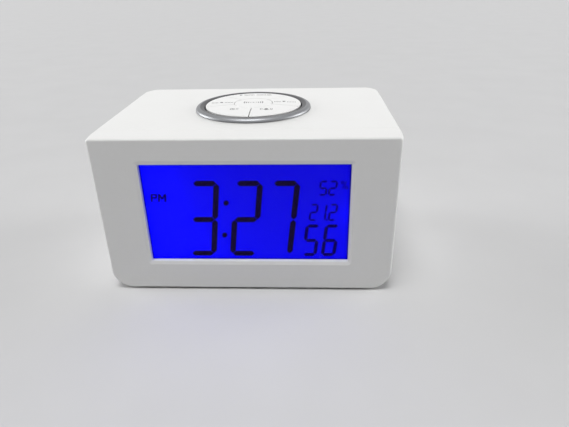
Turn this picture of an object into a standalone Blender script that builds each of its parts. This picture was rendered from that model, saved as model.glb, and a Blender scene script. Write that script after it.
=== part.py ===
"""Talking alarm clock: a white plastic case with a backlit display window, a round
dial of six speech keys in a chrome ring on top, a rear speaker and a battery bay.

Metres, +Z up. The origin is on the table under the middle of the case. The display
faces -Y, and the case is as wide along X as it looks from the front.
"""

import math

import bmesh
import bpy
from mathutils import Matrix, Vector

# Clearances used everywhere
gap = 0.0003
overrun = 0.0010
bond = 0.0004

# Case
body_width = 0.1350
body_depth = 0.0970
body_height = 0.0745
wall = 0.0022
bezel_depth = 0.0140
front_taper = 0.0013
base_corner_radius = 0.0095
top_corner_radius = 0.0014
back_corner_radius = 0.0090
edge_fillet = 0.0012
corner_steps = 7

# Feet
foot_radius = 0.0045
foot_height = 0.0008
foot_pocket_depth = 0.0009
foot_margin = 0.0035
front_foot_margin = 0.0014
rear_foot_margin = 0.0080

# Case screws, and the wells that they sit in
column_wall = 0.0012
column_margin = 0.0033
column_spacing = 0.0024
well_clearance = 0.0005
head_seat = 0.0025
bezel_boss_wall = 0.0020
case_screw_head_radius = 0.0025
case_screw_head_height = 0.0018
case_screw_radius = 0.0013
case_screw_length = 0.0110

# Small screws on the two circuit boards
board_screw_head_radius = 0.0021
board_screw_head_height = 0.0014
board_screw_radius = 0.0010
board_screw_length = 0.0058
board_boss_wall = 0.0011
recess_width = 0.0005
recess_share = 0.62
pilot_depth_spare = 0.0010

# Display window
window_side_border = 0.02155
window_top_border = 0.01165
window_bottom_border = 0.01495
window_bevel_side = 0.0017
window_bevel_height = 0.0020
window_bevel_depth = 0.0006

# Display stack, front to back
lens_margin = 0.0026
lens_thickness = 0.0010
gasket_thickness = 0.0008
gasket_border = 0.0010
lcd_thickness = 0.0028
lcd_ledge = 0.0034
guide_thickness = 0.0030
guide_side_inset = 0.0018
guide_top_inset = 0.0012
reflector_thickness = 0.0005
holder_wall = 0.0014
holder_floor = 0.0012
holder_stud_radius = 0.0020
holder_stud_length = 0.0024
led_bar_length = 0.0300
zebra_length = 0.0760
zebra_thickness = 0.0018

# Main circuit board
board_thickness = 0.0016
board_margin = 0.0018
board_boss_spacing = 0.0280
controller_radius = 0.0060
controller_height = 0.0018
controller_inset = 0.0326
controller_rise = 0.0050
speech_chip_size = (0.0125, 0.0022, 0.0078)
speech_chip_x = 0.0080
speech_chip_drop = 0.0060
capacitor_radius = 0.0032
capacitor_length = 0.0080
capacitor_inset = 0.0156
capacitor_drop = 0.0150
socket_size = (0.0130, 0.0040, 0.0042)
socket_rise = 0.0080

# Key dial on top
dial_offset_y = 0.00265
ring_inner_radius = 0.0243
ring_inner_slope = 0.0025
ring_outer_slope = 0.0019
ring_crest_height = 0.0020
ring_inner_height = 0.0010
ring_skirt_wall = 0.0010
ring_steps = 48
key_clearance = 0.0004
key_edge_height = 0.0017
key_shoulder_width = 0.0010
key_shoulder_rise = 0.0004
key_crown_rise = 0.0004
key_crown_shares = (0.35, 0.7, 1.0)
arc_step = 7.5
key_travel = 0.0008
key_groove = 0.0007
centre_key_radius = 0.0095
stem_radius = 0.0020
stem_barb_step = 0.0007
stem_barb_height = 0.0014
guide_plate_thickness = 0.0016
guide_rim_wall = 0.0014
guide_overlap = 0.0020
mat_thickness = 0.0010
dome_height = 0.0016
dome_radius = 0.0034
dome_slope = 0.0012
key_board_margin = 0.0030
key_boss_count = 3
key_boss_start = 90.0

# Edge angles of the five outer keys, counter-clockwise from the right, seen from above
key_sectors = {
    "key_rear": (45.0, 135.0),
    "key_left": (135.0, 195.0),
    "key_front_left": (195.0, 270.0),
    "key_front_right": (270.0, 345.0),
    "key_right": (345.0, 405.0),
}

# Ribbon cable from the key board to the main board
ribbon_width = 0.0100
ribbon_thickness = 0.0006
ribbon_drop_y = 0.0042
ribbon_reach = 0.0050

# Speaker
speaker_x = 0.0
speaker_rise = 0.0395
speaker_radius = 0.0180
speaker_flange = 0.0012
speaker_flange_width = 0.0018
basket_depth = 0.0070
basket_throat_radius = 0.0088
basket_wall = 0.0012
cone_clearance = 0.0005
cone_thickness = 0.0005
cone_edge_drop = 0.0008
cone_throat_radius = 0.0050
cone_throat_clearance = 0.0004
cone_cap_rise = 0.0012
cone_cap_share = 0.75
magnet_radius = 0.0092
magnet_thickness = 0.0050
speaker_ring_wall = 0.0014
speaker_ring_height = 0.0040
grille_hole_radius = 0.0011
grille_pitch = 0.0040
grille_rings = 3

# Climate sensor behind its vents
sensor_side_inset = 0.0245
sensor_rise = 0.0250
sensor_board_width = 0.0150
sensor_board_height = 0.0110
sensor_board_thickness = 0.0012
sensor_standoff = 0.0034
sensor_rib_wall = 0.0014
sensor_chip_size = (0.0040, 0.0020, 0.0040)
vent_length = 0.0120
vent_width = 0.0014
vent_pitch = 0.0030
vent_count = 4

# Battery bay
cell_radius = 0.00525
cell_length = 0.0437
cell_nub_radius = 0.0019
cell_nub_length = 0.0008
cell_count = 3
cell_spacing = 0.0008
contact_space = 0.0030
contact_plate_thickness = 0.0005
contact_cone_radius = 0.0030
contact_tip_radius = 0.0014
tray_wall = 0.0012
tray_flange = 0.0042
bay_front_y = 0.0005

# Battery door
door_lip = 0.0010
door_tongue = 0.0018
door_tongue_thickness = 0.0006
door_end_inset = 0.0006
door_grip_count = 5
door_grip_width = 0.0009
door_grip_pitch = 0.0022
door_grip_depth = 0.0005
door_grip_length = 0.0200
door_grip_end = 0.0100

# Cables
cable_radius = 0.0008
cable_points = 16
cable_reach = 0.0200
cable_bend = 0.0080
speaker_cable_x = 0.0040
speaker_cable_end_x = 0.0160
cable_end_rise = 0.0120
battery_cable_y = 0.0120
battery_cable_rise = 0.0060
battery_cable_inset = 0.0196
sensor_cable_inset = 0.0076

# Places worked out from the sizes above
front_y = -body_depth / 2
back_y = body_depth / 2
base_z = foot_height
top_z = foot_height + body_height
joint_y = front_y + bezel_depth
floor_z = base_z + wall
ceiling_z = top_z - wall
inner_back_y = back_y - wall
well_radius = case_screw_head_radius + well_clearance
column_radius = well_radius + column_wall
column_low_z = floor_z + column_margin + column_radius
column_high_z = ceiling_z - column_margin - column_radius
column_front_y = joint_y + gap / 2
bezel_boss_radius = case_screw_radius + gap + bezel_boss_wall
board_boss_radius = board_screw_radius + gap + board_boss_wall
window_width = body_width - 2 * window_side_border
window_height = body_height - window_bottom_border - window_top_border
window_z = base_z + window_bottom_border + window_height / 2
lens_half_width = window_width / 2 + lens_margin
lens_half_height = window_height / 2 + lens_margin
lens_y = front_y + wall + gap
gasket_y = lens_y + lens_thickness + gap
lcd_y = gasket_y + gasket_thickness + gap
guide_y = lcd_y + lcd_thickness + gap
reflector_y = guide_y + guide_thickness + gap
holder_floor_y = reflector_y + reflector_thickness + gap
holder_back_y = holder_floor_y + holder_floor
guide_half_width = lens_half_width - guide_side_inset
pocket_half_width = lens_half_width + gap
holder_half_width = pocket_half_width + holder_wall
lens_low_z = window_z - lens_half_height
lens_high_z = window_z + lens_half_height
lcd_low_z = lens_low_z - lcd_ledge
guide_low_z = lens_low_z
guide_high_z = lens_high_z - guide_top_inset
pocket_low_z = lcd_low_z - gap
pocket_high_z = lens_high_z + gap
holder_low_z = pocket_low_z - holder_wall
holder_high_z = pocket_high_z + holder_wall
zebra_z = guide_low_z - gap - zebra_thickness / 2
board_y = holder_back_y + holder_stud_length + gap
board_back_y = board_y + board_thickness
column_x = holder_half_width + gap + column_spacing + column_radius
board_boss_x = holder_half_width + gap + board_boss_radius
board_half_width = board_boss_x + board_boss_radius + board_margin / 2
board_low_z = holder_low_z + board_margin
controller_x = controller_inset - board_half_width
capacitor_x = capacitor_inset - board_half_width
battery_cable_end_x = board_half_width - battery_cable_inset
sensor_cable_end_x = board_half_width - sensor_cable_inset
notch_x = column_x - column_radius - board_margin
notch_low_z = column_low_z + column_radius + board_margin
notch_high_z = column_high_z - column_radius - board_margin
ring_crest_radius = ring_inner_radius + ring_inner_slope
ring_outer_radius = ring_crest_radius + ring_outer_slope
key_disc_radius = ring_inner_radius - key_clearance
key_shoulder_radius = key_disc_radius - key_shoulder_width
key_shoulder_height = key_edge_height + key_shoulder_rise
key_crown_height = key_shoulder_height + key_crown_rise
stem_barb_radius = stem_radius + stem_barb_step
dome_top_radius = dome_radius - dome_slope
skirt_radius = ring_inner_radius + ring_skirt_wall
dial_hole_radius = skirt_radius + gap
guide_top_z = ceiling_z - gap
guide_bottom_z = guide_top_z - guide_plate_thickness
key_plate_z = guide_top_z + gap + key_travel
barb_top_z = guide_bottom_z - gap
barb_bottom_z = barb_top_z - stem_barb_height
dome_top_z = barb_bottom_z - gap
mat_top_z = dome_top_z - dome_height
mat_bottom_z = mat_top_z - mat_thickness
key_board_top_z = mat_bottom_z - gap
key_board_bottom_z = key_board_top_z - board_thickness
board_high_z = key_board_bottom_z - board_margin
guide_radius = dial_hole_radius + guide_overlap
key_boss_circle = guide_radius + gap + board_boss_radius
key_board_radius = key_boss_circle + key_board_margin
stem_circle = (centre_key_radius + key_groove + key_disc_radius) / 2
basket_rim_radius = speaker_radius - speaker_flange_width
cone_radius = basket_rim_radius - cone_clearance
cone_throat_drop = basket_depth - basket_wall - gap - cone_thickness - cone_throat_clearance
speaker_y = inner_back_y - gap
speaker_z = base_z + speaker_rise
magnet_back_y = speaker_y - basket_depth - gap - magnet_thickness
sensor_x = body_width / 2 - sensor_side_inset
sensor_z = base_z + sensor_rise
sensor_board_y = inner_back_y - sensor_standoff
bay_half_width = (cell_length + cell_nub_length) / 2 + contact_space
bay_depth = 2 * cell_radius * cell_count + cell_spacing * (cell_count + 1)
bay_back_y = bay_front_y + bay_depth
door_half_width = bay_half_width - gap
tongue_half_width = door_half_width + door_tongue
lip_top_z = base_z + door_lip
tongue_bottom_z = lip_top_z + gap
door_top_z = tongue_bottom_z + door_tongue_thickness
door_front_y = bay_front_y - tray_wall
door_back_y = back_y - door_end_inset
cell_z = door_top_z + gap + cell_radius
tray_low_z = floor_z + gap
tray_roof_z = cell_z + cell_radius + gap

parts = bpy.data.collections.new("talking_clock")
cutters = bpy.data.collections.new("cutters")


def clear_scene():
    for obj in list(bpy.data.objects):
        bpy.data.objects.remove(obj, do_unlink=True)
    for collection in (parts, cutters):
        bpy.context.scene.collection.children.link(collection)


def finish(name, colour, roughness=0.5, metallic=0.0):
    material = bpy.data.materials.new(name)
    material.use_nodes = True
    shader = material.node_tree.nodes["Principled BSDF"]
    shader.inputs["Base Color"].default_value = (*colour, 1.0)
    shader.inputs["Roughness"].default_value = roughness
    shader.inputs["Metallic"].default_value = metallic
    return material


def as_part(obj, material):
    """Puts an object among the clock's pieces, with its one material."""
    for collection in list(obj.users_collection):
        collection.objects.unlink(obj)
    parts.objects.link(obj)
    obj.hide_render = False
    obj.display_type = "TEXTURED"
    obj.data.materials.clear()
    obj.data.materials.append(material)
    return obj


def as_cutter(obj):
    for collection in list(obj.users_collection):
        collection.objects.unlink(obj)
    cutters.objects.link(obj)
    obj.hide_render = True
    obj.display_type = "WIRE"
    return obj


def mesh_object(name, shape):
    """An object in the cutters' collection from a bmesh; as_part moves it on."""
    bmesh.ops.recalc_face_normals(shape, faces=shape.faces)
    mesh = bpy.data.meshes.new(name)
    shape.to_mesh(mesh)
    shape.free()
    obj = bpy.data.objects.new(name, mesh)
    return as_cutter(obj)


def box(name, low, high):
    """A box from its lowest to its highest corner."""
    low = Vector(low)
    high = Vector(high)
    shape = bmesh.new()
    place = Matrix.Translation((low + high) / 2) @ Matrix.Diagonal((*(high - low), 1.0))
    bmesh.ops.create_cube(shape, size=1.0, matrix=place)
    return mesh_object(name, shape)


def axis_turn(axis):
    """The rotation that takes local +Z to the named world axis."""
    return Vector((0.0, 0.0, 1.0)).rotation_difference(Vector(axis)).to_matrix().to_4x4()


def rod(name, radius, start, end, segments=20, end_radius=None):
    """A cylinder, or a cone with end_radius, between two points."""
    start = Vector(start)
    end = Vector(end)
    run = end - start
    shape = bmesh.new()
    place = Matrix.Translation((start + end) / 2) @ axis_turn(run.normalized())
    bmesh.ops.create_cone(
        shape, cap_ends=True, segments=segments, radius1=radius,
        radius2=radius if end_radius is None else end_radius,
        depth=run.length, matrix=place)
    return mesh_object(name, shape)


def arc(centre, radii, start, end, steps):
    """Points on an arc or a quarter ellipse, with angles in degrees."""
    points = []
    for step in range(steps + 1):
        angle = math.radians(start + (end - start) * step / steps)
        points.append((centre[0] + radii[0] * math.cos(angle),
                       centre[1] + radii[1] * math.sin(angle)))
    return points


def rounded_outline(low, high, radii):
    """A rectangle whose corners have the radii given from low-low, anticlockwise."""
    corners = ((low[0], low[1], 180.0), (high[0], low[1], 270.0),
               (high[0], high[1], 0.0), (low[0], high[1], 90.0))
    points = []
    for (x, y, start), radius in zip(corners, radii):
        if radius <= 0.0:
            points.append((x, y))
            continue
        centre = (x + radius if x == low[0] else x - radius,
                  y + radius if y == low[1] else y - radius)
        points += arc(centre, (radius, radius), start, start + 90.0, corner_steps)
    return points


# How a flat outline's own x, y and thickness lie in the clock
PLANES = {
    "XY": Matrix(((1, 0, 0), (0, 1, 0), (0, 0, 1))),
    "XZ": Matrix(((1, 0, 0), (0, 0, -1), (0, 1, 0))),
    "YZ": Matrix(((0, 0, 1), (1, 0, 0), (0, 1, 0))),
}


def plate(name, plane, outlines, low, high):
    """A flat outline, with any holes after it, thickened from low to high."""
    curve = bpy.data.curves.new(name, "CURVE")
    curve.dimensions = "2D"
    curve.fill_mode = "BOTH"
    curve.extrude = (high - low) / 2
    for outline in outlines:
        spline = curve.splines.new("POLY")
        spline.points.add(len(outline) - 1)
        for point, (x, y) in zip(spline.points, outline):
            point.co = (x, y, 0.0, 1.0)
        spline.use_cyclic_u = True
    drawn = bpy.data.objects.new(name, curve)
    turn = PLANES[plane]
    middle = (high + low) / 2
    normal = turn @ Vector((0.0, 0.0, 1.0))
    offset = middle if max(normal) > 0 else -middle
    drawn.matrix_world = Matrix.Translation(normal * offset) @ turn.to_4x4()
    return curve_to_mesh(drawn)


def curve_to_mesh(drawn):
    """Replaces a curve object by a mesh object whose caps are welded."""
    cutters.objects.link(drawn)
    bpy.context.view_layer.update()
    evaluated = drawn.evaluated_get(bpy.context.evaluated_depsgraph_get())
    mesh = bpy.data.meshes.new_from_object(evaluated)
    shape = bmesh.new()
    shape.from_mesh(mesh)
    bmesh.ops.remove_doubles(shape, verts=shape.verts, dist=gap / 100)
    bmesh.ops.recalc_face_normals(shape, faces=shape.faces)
    shape.to_mesh(mesh)
    shape.free()
    name = drawn.name
    place = drawn.matrix_world.copy()
    bpy.data.objects.remove(drawn, do_unlink=True)
    obj = bpy.data.objects.new(name, mesh)
    obj.matrix_world = place
    return as_cutter(obj)


def turned(name, profile, location, axis=(0.0, 0.0, 1.0), steps=32):
    """A lathe shape from (radius, height) points that run down its outer side."""
    shape = bmesh.new()
    rim = [shape.verts.new((radius, 0.0, height)) for radius, height in profile]
    for first, second in zip(rim, rim[1:]):
        shape.edges.new((first, second))
    if profile[0][0] > 0.0:
        shape.edges.new((rim[-1], rim[0]))
    mesh = bpy.data.meshes.new(name)
    shape.to_mesh(mesh)
    shape.free()
    obj = as_cutter(bpy.data.objects.new(name, mesh))
    screw = obj.modifiers.new("turn", "SCREW")
    screw.angle = 2 * math.pi
    screw.steps = steps
    screw.render_steps = steps
    screw.use_merge_vertices = True
    screw.merge_threshold = gap / 30
    screw.use_smooth_shade = True
    obj.matrix_world = Matrix.Translation(location) @ axis_turn(axis)
    return obj


def boolean(obj, tool, operation):
    modifier = obj.modifiers.new(operation.lower(), "BOOLEAN")
    modifier.operation = operation
    modifier.solver = "EXACT"
    modifier.object = as_cutter(tool)
    return obj


def cut(obj, *tools):
    for tool in tools:
        boolean(obj, tool, "DIFFERENCE")
    return obj


def weld(obj, *tools):
    for tool in tools:
        boolean(obj, tool, "UNION")
    return obj


def finished_mesh(obj):
    """The object's evaluated mesh in world space, with the object removed."""
    bpy.context.view_layer.update()
    evaluated = obj.evaluated_get(bpy.context.evaluated_depsgraph_get())
    mesh = bpy.data.meshes.new_from_object(evaluated)
    mesh.transform(obj.matrix_world)
    bpy.data.objects.remove(obj, do_unlink=True)
    return mesh


def group(name, tools):
    """Several separate tools as one, so that one Boolean uses them all."""
    shape = bmesh.new()
    for tool in tools:
        shape.from_mesh(finished_mesh(tool))
    mesh = bpy.data.meshes.new(name)
    shape.to_mesh(mesh)
    shape.free()
    return as_cutter(bpy.data.objects.new(name, mesh))


def outline_from_front(inset):
    """The case seen from the front: big radii at its base and small ones on top."""
    half = body_width / 2 - inset
    base_radius = base_corner_radius - inset
    top_radius = top_corner_radius - inset
    return rounded_outline((-half, base_z + inset), (half, top_z - inset),
                           (base_radius, base_radius, top_radius, top_radius))


def bezel_block(name, inset, end_y):
    """The front of the case as a solid, whose sides draw in towards the display."""
    block = plate(name, "XZ", [outline_from_front(inset)], front_y + inset, end_y)
    place = block.matrix_world
    back_to_local = place.inverted()
    for vertex in block.data.vertices:
        point = place @ vertex.co
        narrowing = front_taper * (joint_y - point.y) / bezel_depth
        point.x -= math.copysign(narrowing, point.x)
        vertex.co = back_to_local @ point
    return block


def side_fillets(name, low_y, high_y, radii):
    """A block as wide as needed, whose rounded outline trims the case seen from a side."""
    side = rounded_outline((low_y, base_z), (high_y, top_z), radii)
    return plate(name, "YZ", [side], -body_width, body_width)


def rear_block(name, inset, start_y):
    """The rest of the case as a solid, with its two upright back corners rounded."""
    block = plate(name, "XZ", [outline_from_front(inset)], start_y, back_y - inset)
    half = body_width / 2 - inset
    radius = back_corner_radius - inset
    back = back_y - inset
    plan = [(-half, start_y - overrun), (half, start_y - overrun)]
    plan += arc((half - radius, back - radius), (radius, radius), 0.0, 90.0, corner_steps)
    plan += arc((radius - half, back - radius), (radius, radius), 90.0, 180.0, corner_steps)
    from_above = plate(name + "_plan", "XY", [plan], base_z - overrun, top_z + overrun)
    return boolean(block, from_above, "INTERSECT")


def column_places():
    return [(x, z) for z in (column_low_z, column_high_z) for x in (-column_x, column_x)]


def board_boss_places():
    return [(x, window_z + rise) for rise in (-board_boss_spacing / 2, board_boss_spacing / 2)
            for x in (-board_boss_x, board_boss_x)]


def key_boss_places():
    places = []
    for index in range(key_boss_count):
        angle = math.radians(key_boss_start + 360.0 * index / key_boss_count)
        places.append((key_boss_circle * math.cos(angle),
                       dial_offset_y + key_boss_circle * math.sin(angle)))
    return places


def window_bevel():
    """The sloping rim of the display window, as a block that narrows inwards."""
    half_width = window_width / 2
    half_height = window_height / 2
    block = box("window_bevel",
                (-half_width, front_y - overrun, window_z - half_height),
                (half_width, front_y + window_bevel_depth, window_z + half_height))
    flare = 1 + overrun / window_bevel_depth
    wide_x = 1 + window_bevel_side * flare / half_width
    wide_z = 1 + window_bevel_height * flare / half_height
    for vertex in block.data.vertices:
        if vertex.co.y < front_y:
            vertex.co.x *= wide_x
            vertex.co.z = window_z + (vertex.co.z - window_z) * wide_z
    return block


def make_front_bezel(material):
    bezel_end = joint_y - gap / 2
    bezel = bezel_block("front_bezel", 0.0, bezel_end)
    boolean(bezel, side_fillets("bezel_fillets", front_y, bezel_end + overrun,
                                (edge_fillet, 0.0, 0.0, edge_fillet)), "INTERSECT")
    cut(bezel, bezel_block("bezel_hollow", wall, bezel_end + overrun))
    wall_inside = front_y + wall - bond
    bosses = [rod("case_boss", bezel_boss_radius, (x, wall_inside, z),
                  (x, bezel_end, z)) for x, z in column_places()]
    bosses += [rod("board_boss", board_boss_radius, (x, wall_inside, z),
                   (x, board_y - gap, z)) for x, z in board_boss_places()]
    weld(bezel, group("bezel_bosses", bosses))
    case_hole = case_screw_length - head_seat + pilot_depth_spare
    board_hole = board_screw_length - board_thickness + pilot_depth_spare
    holes = [rod("case_pilot", case_screw_radius + gap, (x, joint_y - case_hole, z),
                 (x, joint_y + overrun, z), 12) for x, z in column_places()]
    holes += [rod("board_pilot", board_screw_radius + gap, (x, board_y - board_hole, z),
                  (x, board_y + overrun, z), 12) for x, z in board_boss_places()]
    half_width = window_width / 2
    half_height = window_height / 2
    opening = box("window_opening",
                  (-half_width, front_y, window_z - half_height),
                  (half_width, front_y + wall + overrun, window_z + half_height))
    cut(bezel, group("bezel_pilots", holes), opening, window_bevel())
    return as_part(bezel, material)


def grille_tools():
    """The speaker's holes: one in the middle and rings of six, twelve and more."""
    holes = []
    for ring in range(grille_rings + 1):
        count = max(1, 6 * ring)
        for index in range(count):
            angle = 2 * math.pi * index / count
            x = speaker_x + ring * grille_pitch * math.cos(angle)
            z = speaker_z + ring * grille_pitch * math.sin(angle)
            holes.append(rod("grille_hole", grille_hole_radius,
                             (x, inner_back_y - overrun, z), (x, back_y + overrun, z), 8))
    return holes


def vent_tools():
    vents = []
    for index in range(vent_count):
        z = sensor_z + vent_pitch * (index - (vent_count - 1) / 2)
        vents.append(box("vent",
                         (sensor_x - vent_length / 2, inner_back_y - overrun, z - vent_width / 2),
                         (sensor_x + vent_length / 2, back_y + overrun, z + vent_width / 2)))
    return vents


def foot_places():
    x = body_width / 2 - base_corner_radius - foot_radius - foot_margin
    front = column_front_y + foot_radius + front_foot_margin
    rear = back_y - foot_radius - rear_foot_margin
    return {"foot_front_left": (-x, front), "foot_front_right": (x, front),
            "foot_rear_left": (-x, rear), "foot_rear_right": (x, rear)}


def speaker_ring():
    """The moulded ring on the back wall that the speaker drops into."""
    inner = speaker_radius + gap
    outer = inner + speaker_ring_wall
    low = -speaker_ring_height
    high = bond
    profile = [(inner, high), (outer, high), (outer, low), (inner, low)]
    return turned("speaker_ring", profile, (speaker_x, inner_back_y, speaker_z),
                  (0.0, 1.0, 0.0), 32)


def make_rear_case(material):
    case = rear_block("rear_case", 0.0, column_front_y)
    boolean(case, side_fillets("case_fillets", column_front_y - overrun, back_y,
                               (0.0, edge_fillet, edge_fillet, 0.0)), "INTERSECT")
    cut(case, rear_block("case_hollow", wall, column_front_y - overrun))
    added = [rod("column", column_radius, (x, column_front_y, z),
                 (x, inner_back_y + bond, z)) for x, z in column_places()]
    added += [rod("key_boss", board_boss_radius, (x, y, key_board_top_z + gap),
                  (x, y, ceiling_z + bond)) for x, y in key_boss_places()]
    added.append(speaker_ring())
    rib_x = sensor_board_width / 2 - sensor_rib_wall
    for side in (-1, 1):
        inner = sensor_x + side * rib_x
        outer = inner + side * sensor_rib_wall
        added.append(box("sensor_rib",
                         (min(inner, outer), sensor_board_y + gap,
                          sensor_z - sensor_board_height / 2),
                         (max(inner, outer), inner_back_y + bond,
                          sensor_z + sensor_board_height / 2)))
    weld(case, group("case_additions", added))
    wells = [rod("well", well_radius, (x, column_front_y + head_seat, z),
                 (x, back_y + overrun, z)) for x, z in column_places()]
    key_hole = board_screw_length - board_thickness + pilot_depth_spare
    wells += [rod("key_pilot", board_screw_radius + gap, (x, y, key_board_top_z - overrun),
                  (x, y, key_board_top_z + key_hole), 12) for x, y in key_boss_places()]
    wells += grille_tools() + vent_tools()
    wells += [rod("foot_pocket", foot_radius + gap, (x, y, base_z - overrun),
                  (x, y, base_z + foot_pocket_depth)) for x, y in foot_places().values()]
    wells.append(rod("dial_hole", dial_hole_radius, (0.0, dial_offset_y, ceiling_z - overrun),
                     (0.0, dial_offset_y, top_z + overrun), ring_steps))
    shafts = [rod("shaft_hole", case_screw_radius + gap, (x, column_front_y - overrun, z),
                  (x, column_front_y + head_seat + overrun, z), 12)
              for x, z in column_places()]
    slot = box("door_slot",
               (-bay_half_width, door_front_y - gap, base_z - overrun),
               (bay_half_width, back_y + overrun, floor_z + overrun / 2))
    groove_half = tongue_half_width + gap
    groove = box("tongue_groove",
                 (-groove_half, door_front_y - gap, lip_top_z),
                 (groove_half, back_y + overrun, floor_z + overrun / 4))
    cut(case, group("case_wells", wells), group("case_shaft_holes", shafts), slot, groove)
    return as_part(case, material)


def rectangle(half_width, low_z, high_z):
    return rounded_outline((-half_width, low_z), (half_width, high_z), (0.0,) * 4)


def make_display(clear, rubber, glass, acrylic, white, board_green):
    as_part(box("window_lens", (-lens_half_width, lens_y, lens_low_z),
                (lens_half_width, lens_y + lens_thickness, lens_high_z)), clear)
    hole_half_width = lens_half_width - gasket_border
    gasket = plate("lens_gasket", "XZ",
                   [rectangle(lens_half_width, lens_low_z, lens_high_z),
                    rectangle(hole_half_width, lens_low_z + gasket_border,
                              lens_high_z - gasket_border)],
                   gasket_y, gasket_y + gasket_thickness)
    as_part(gasket, rubber)
    as_part(box("lcd_glass", (-lens_half_width, lcd_y, lcd_low_z),
                (lens_half_width, lcd_y + lcd_thickness, lens_high_z)), glass)
    as_part(box("light_guide", (-guide_half_width, guide_y, guide_low_z),
                (guide_half_width, guide_y + guide_thickness, guide_high_z)), acrylic)
    as_part(box("reflector_sheet", (-guide_half_width, reflector_y, guide_low_z),
                (guide_half_width, reflector_y + reflector_thickness, guide_high_z)), white)
    bar_left = gap - pocket_half_width
    bar_right = -guide_half_width - gap
    as_part(box("backlight_led_bar", (bar_left, guide_y, window_z - led_bar_length / 2),
                (bar_right, guide_y + guide_thickness, window_z + led_bar_length / 2)),
            board_green)


def make_lcd_holder(material):
    holder = box("lcd_holder",
                 (-holder_half_width, lcd_y, holder_low_z),
                 (holder_half_width, holder_back_y, holder_high_z))
    pocket = box("holder_pocket",
                 (-pocket_half_width, lcd_y - overrun, pocket_low_z),
                 (pocket_half_width, holder_floor_y, pocket_high_z))
    half_slot = zebra_thickness / 2 + gap
    slot = box("zebra_slot",
               (-zebra_length / 2 - gap, holder_floor_y - overrun, zebra_z - half_slot),
               (zebra_length / 2 + gap, holder_back_y + overrun, zebra_z + half_slot))
    stud_x = guide_half_width - holder_stud_radius
    stud_rows = (guide_low_z + 2 * holder_stud_radius, guide_high_z - 2 * holder_stud_radius)
    studs = [rod("holder_stud", holder_stud_radius, (x, holder_back_y - bond, z),
                 (x, holder_back_y + holder_stud_length, z), 16)
             for x in (-stud_x, stud_x) for z in stud_rows]
    cut(holder, pocket, slot)
    weld(holder, group("holder_studs", studs))
    return as_part(holder, material)


def make_zebra_strip(material):
    strip = box("zebra_strip",
                (-zebra_length / 2, guide_y, zebra_z - zebra_thickness / 2),
                (zebra_length / 2, board_y - gap, zebra_z + zebra_thickness / 2))
    return as_part(strip, material)


def make_main_board(material):
    outline = [(-notch_x, board_low_z), (notch_x, board_low_z), (notch_x, notch_low_z),
               (board_half_width, notch_low_z), (board_half_width, notch_high_z),
               (notch_x, notch_high_z), (notch_x, board_high_z), (-notch_x, board_high_z),
               (-notch_x, notch_high_z), (-board_half_width, notch_high_z),
               (-board_half_width, notch_low_z), (-notch_x, notch_low_z)]
    hole_radius = board_screw_radius + gap
    holes = [arc((x, z), (hole_radius, hole_radius), 360.0, 30.0, 11)
             for x, z in board_boss_places()]
    board = plate("main_board", "XZ", [outline] + holes, board_y, board_back_y)
    return as_part(board, material)


def make_board_parts(black, dark, metal, white):
    face = board_back_y + gap
    blob = [(0.0, controller_height)]
    blob += [(controller_radius * math.sin(math.radians(angle)),
              controller_height * math.cos(math.radians(angle))) for angle in (30, 55, 75, 90)]
    blob.append((0.0, 0.0))
    controller = turned("controller_blob", blob,
                        (controller_x, face, window_z + controller_rise), (0.0, 1.0, 0.0), 24)
    as_part(controller, black)
    width, depth, height = speech_chip_size
    chip_z = window_z - speech_chip_drop
    as_part(box("speech_chip", (speech_chip_x - width / 2, face, chip_z - height / 2),
                (speech_chip_x + width / 2, face + depth, chip_z + height / 2)), dark)
    can_z = window_z - capacitor_drop
    as_part(rod("capacitor", capacitor_radius, (capacitor_x, face, can_z),
                (capacitor_x, face + capacitor_length, can_z), 24), metal)
    width, depth, height = socket_size
    socket_z = window_z + socket_rise
    as_part(box("ribbon_socket", (-width / 2, face, socket_z - height / 2),
                (width / 2, face + depth, socket_z + height / 2)), white)


def screw_mesh(name, head_radius, head_height, radius, length):
    """A pan-head screw with a cross recess: head on the origin, shaft along -Z."""
    rim = head_height / 2
    profile = [(0.0, head_height)]
    profile += arc((head_radius - rim, rim), (rim, rim), 90.0, 0.0, 2)
    profile += [(head_radius, 0.0), (radius, 0.0), (radius, radius - length), (0.0, -length)]
    screw = turned(name, profile, (0.0, 0.0, 0.0), steps=12)
    reach = head_radius * recess_share
    half = recess_width / 2
    depth = head_height * recess_share
    for along_x in (True, False):
        x = reach if along_x else half
        y = half if along_x else reach
        cut(screw, box(name + "_recess", (-x, -y, head_height - depth),
                       (x, y, head_height + overrun)))
    return finished_mesh(screw)


def place_screws(names, mesh, places, direction, material):
    """Copies of one screw, each with the underside of its head at its place."""
    for name, place in zip(names, places):
        screw = bpy.data.objects.new(name, mesh)
        screw.matrix_world = Matrix.Translation(place) @ axis_turn(direction)
        as_part(screw, material)


def make_screws(material):
    case_mesh = screw_mesh("case_screw", case_screw_head_radius, case_screw_head_height,
                           case_screw_radius, case_screw_length)
    seats = [(x, column_front_y + head_seat + gap, z) for x, z in column_places()]
    place_screws(("case_screw_low_left", "case_screw_low_right", "case_screw_high_left",
                  "case_screw_high_right"), case_mesh, seats, (0.0, 1.0, 0.0), material)
    board_mesh = screw_mesh("board_screw", board_screw_head_radius, board_screw_head_height,
                            board_screw_radius, board_screw_length)
    seats = [(x, board_back_y + gap, z) for x, z in board_boss_places()]
    place_screws(("board_screw_low_left", "board_screw_low_right", "board_screw_high_left",
                  "board_screw_high_right"), board_mesh, seats, (0.0, 1.0, 0.0), material)
    seats = [(x, y, key_board_bottom_z - gap) for x, y in key_boss_places()]
    names = ["key_board_screw_%d" % (index + 1) for index in range(key_boss_count)]
    place_screws(names, board_mesh, seats, (0.0, 0.0, -1.0), material)


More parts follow.
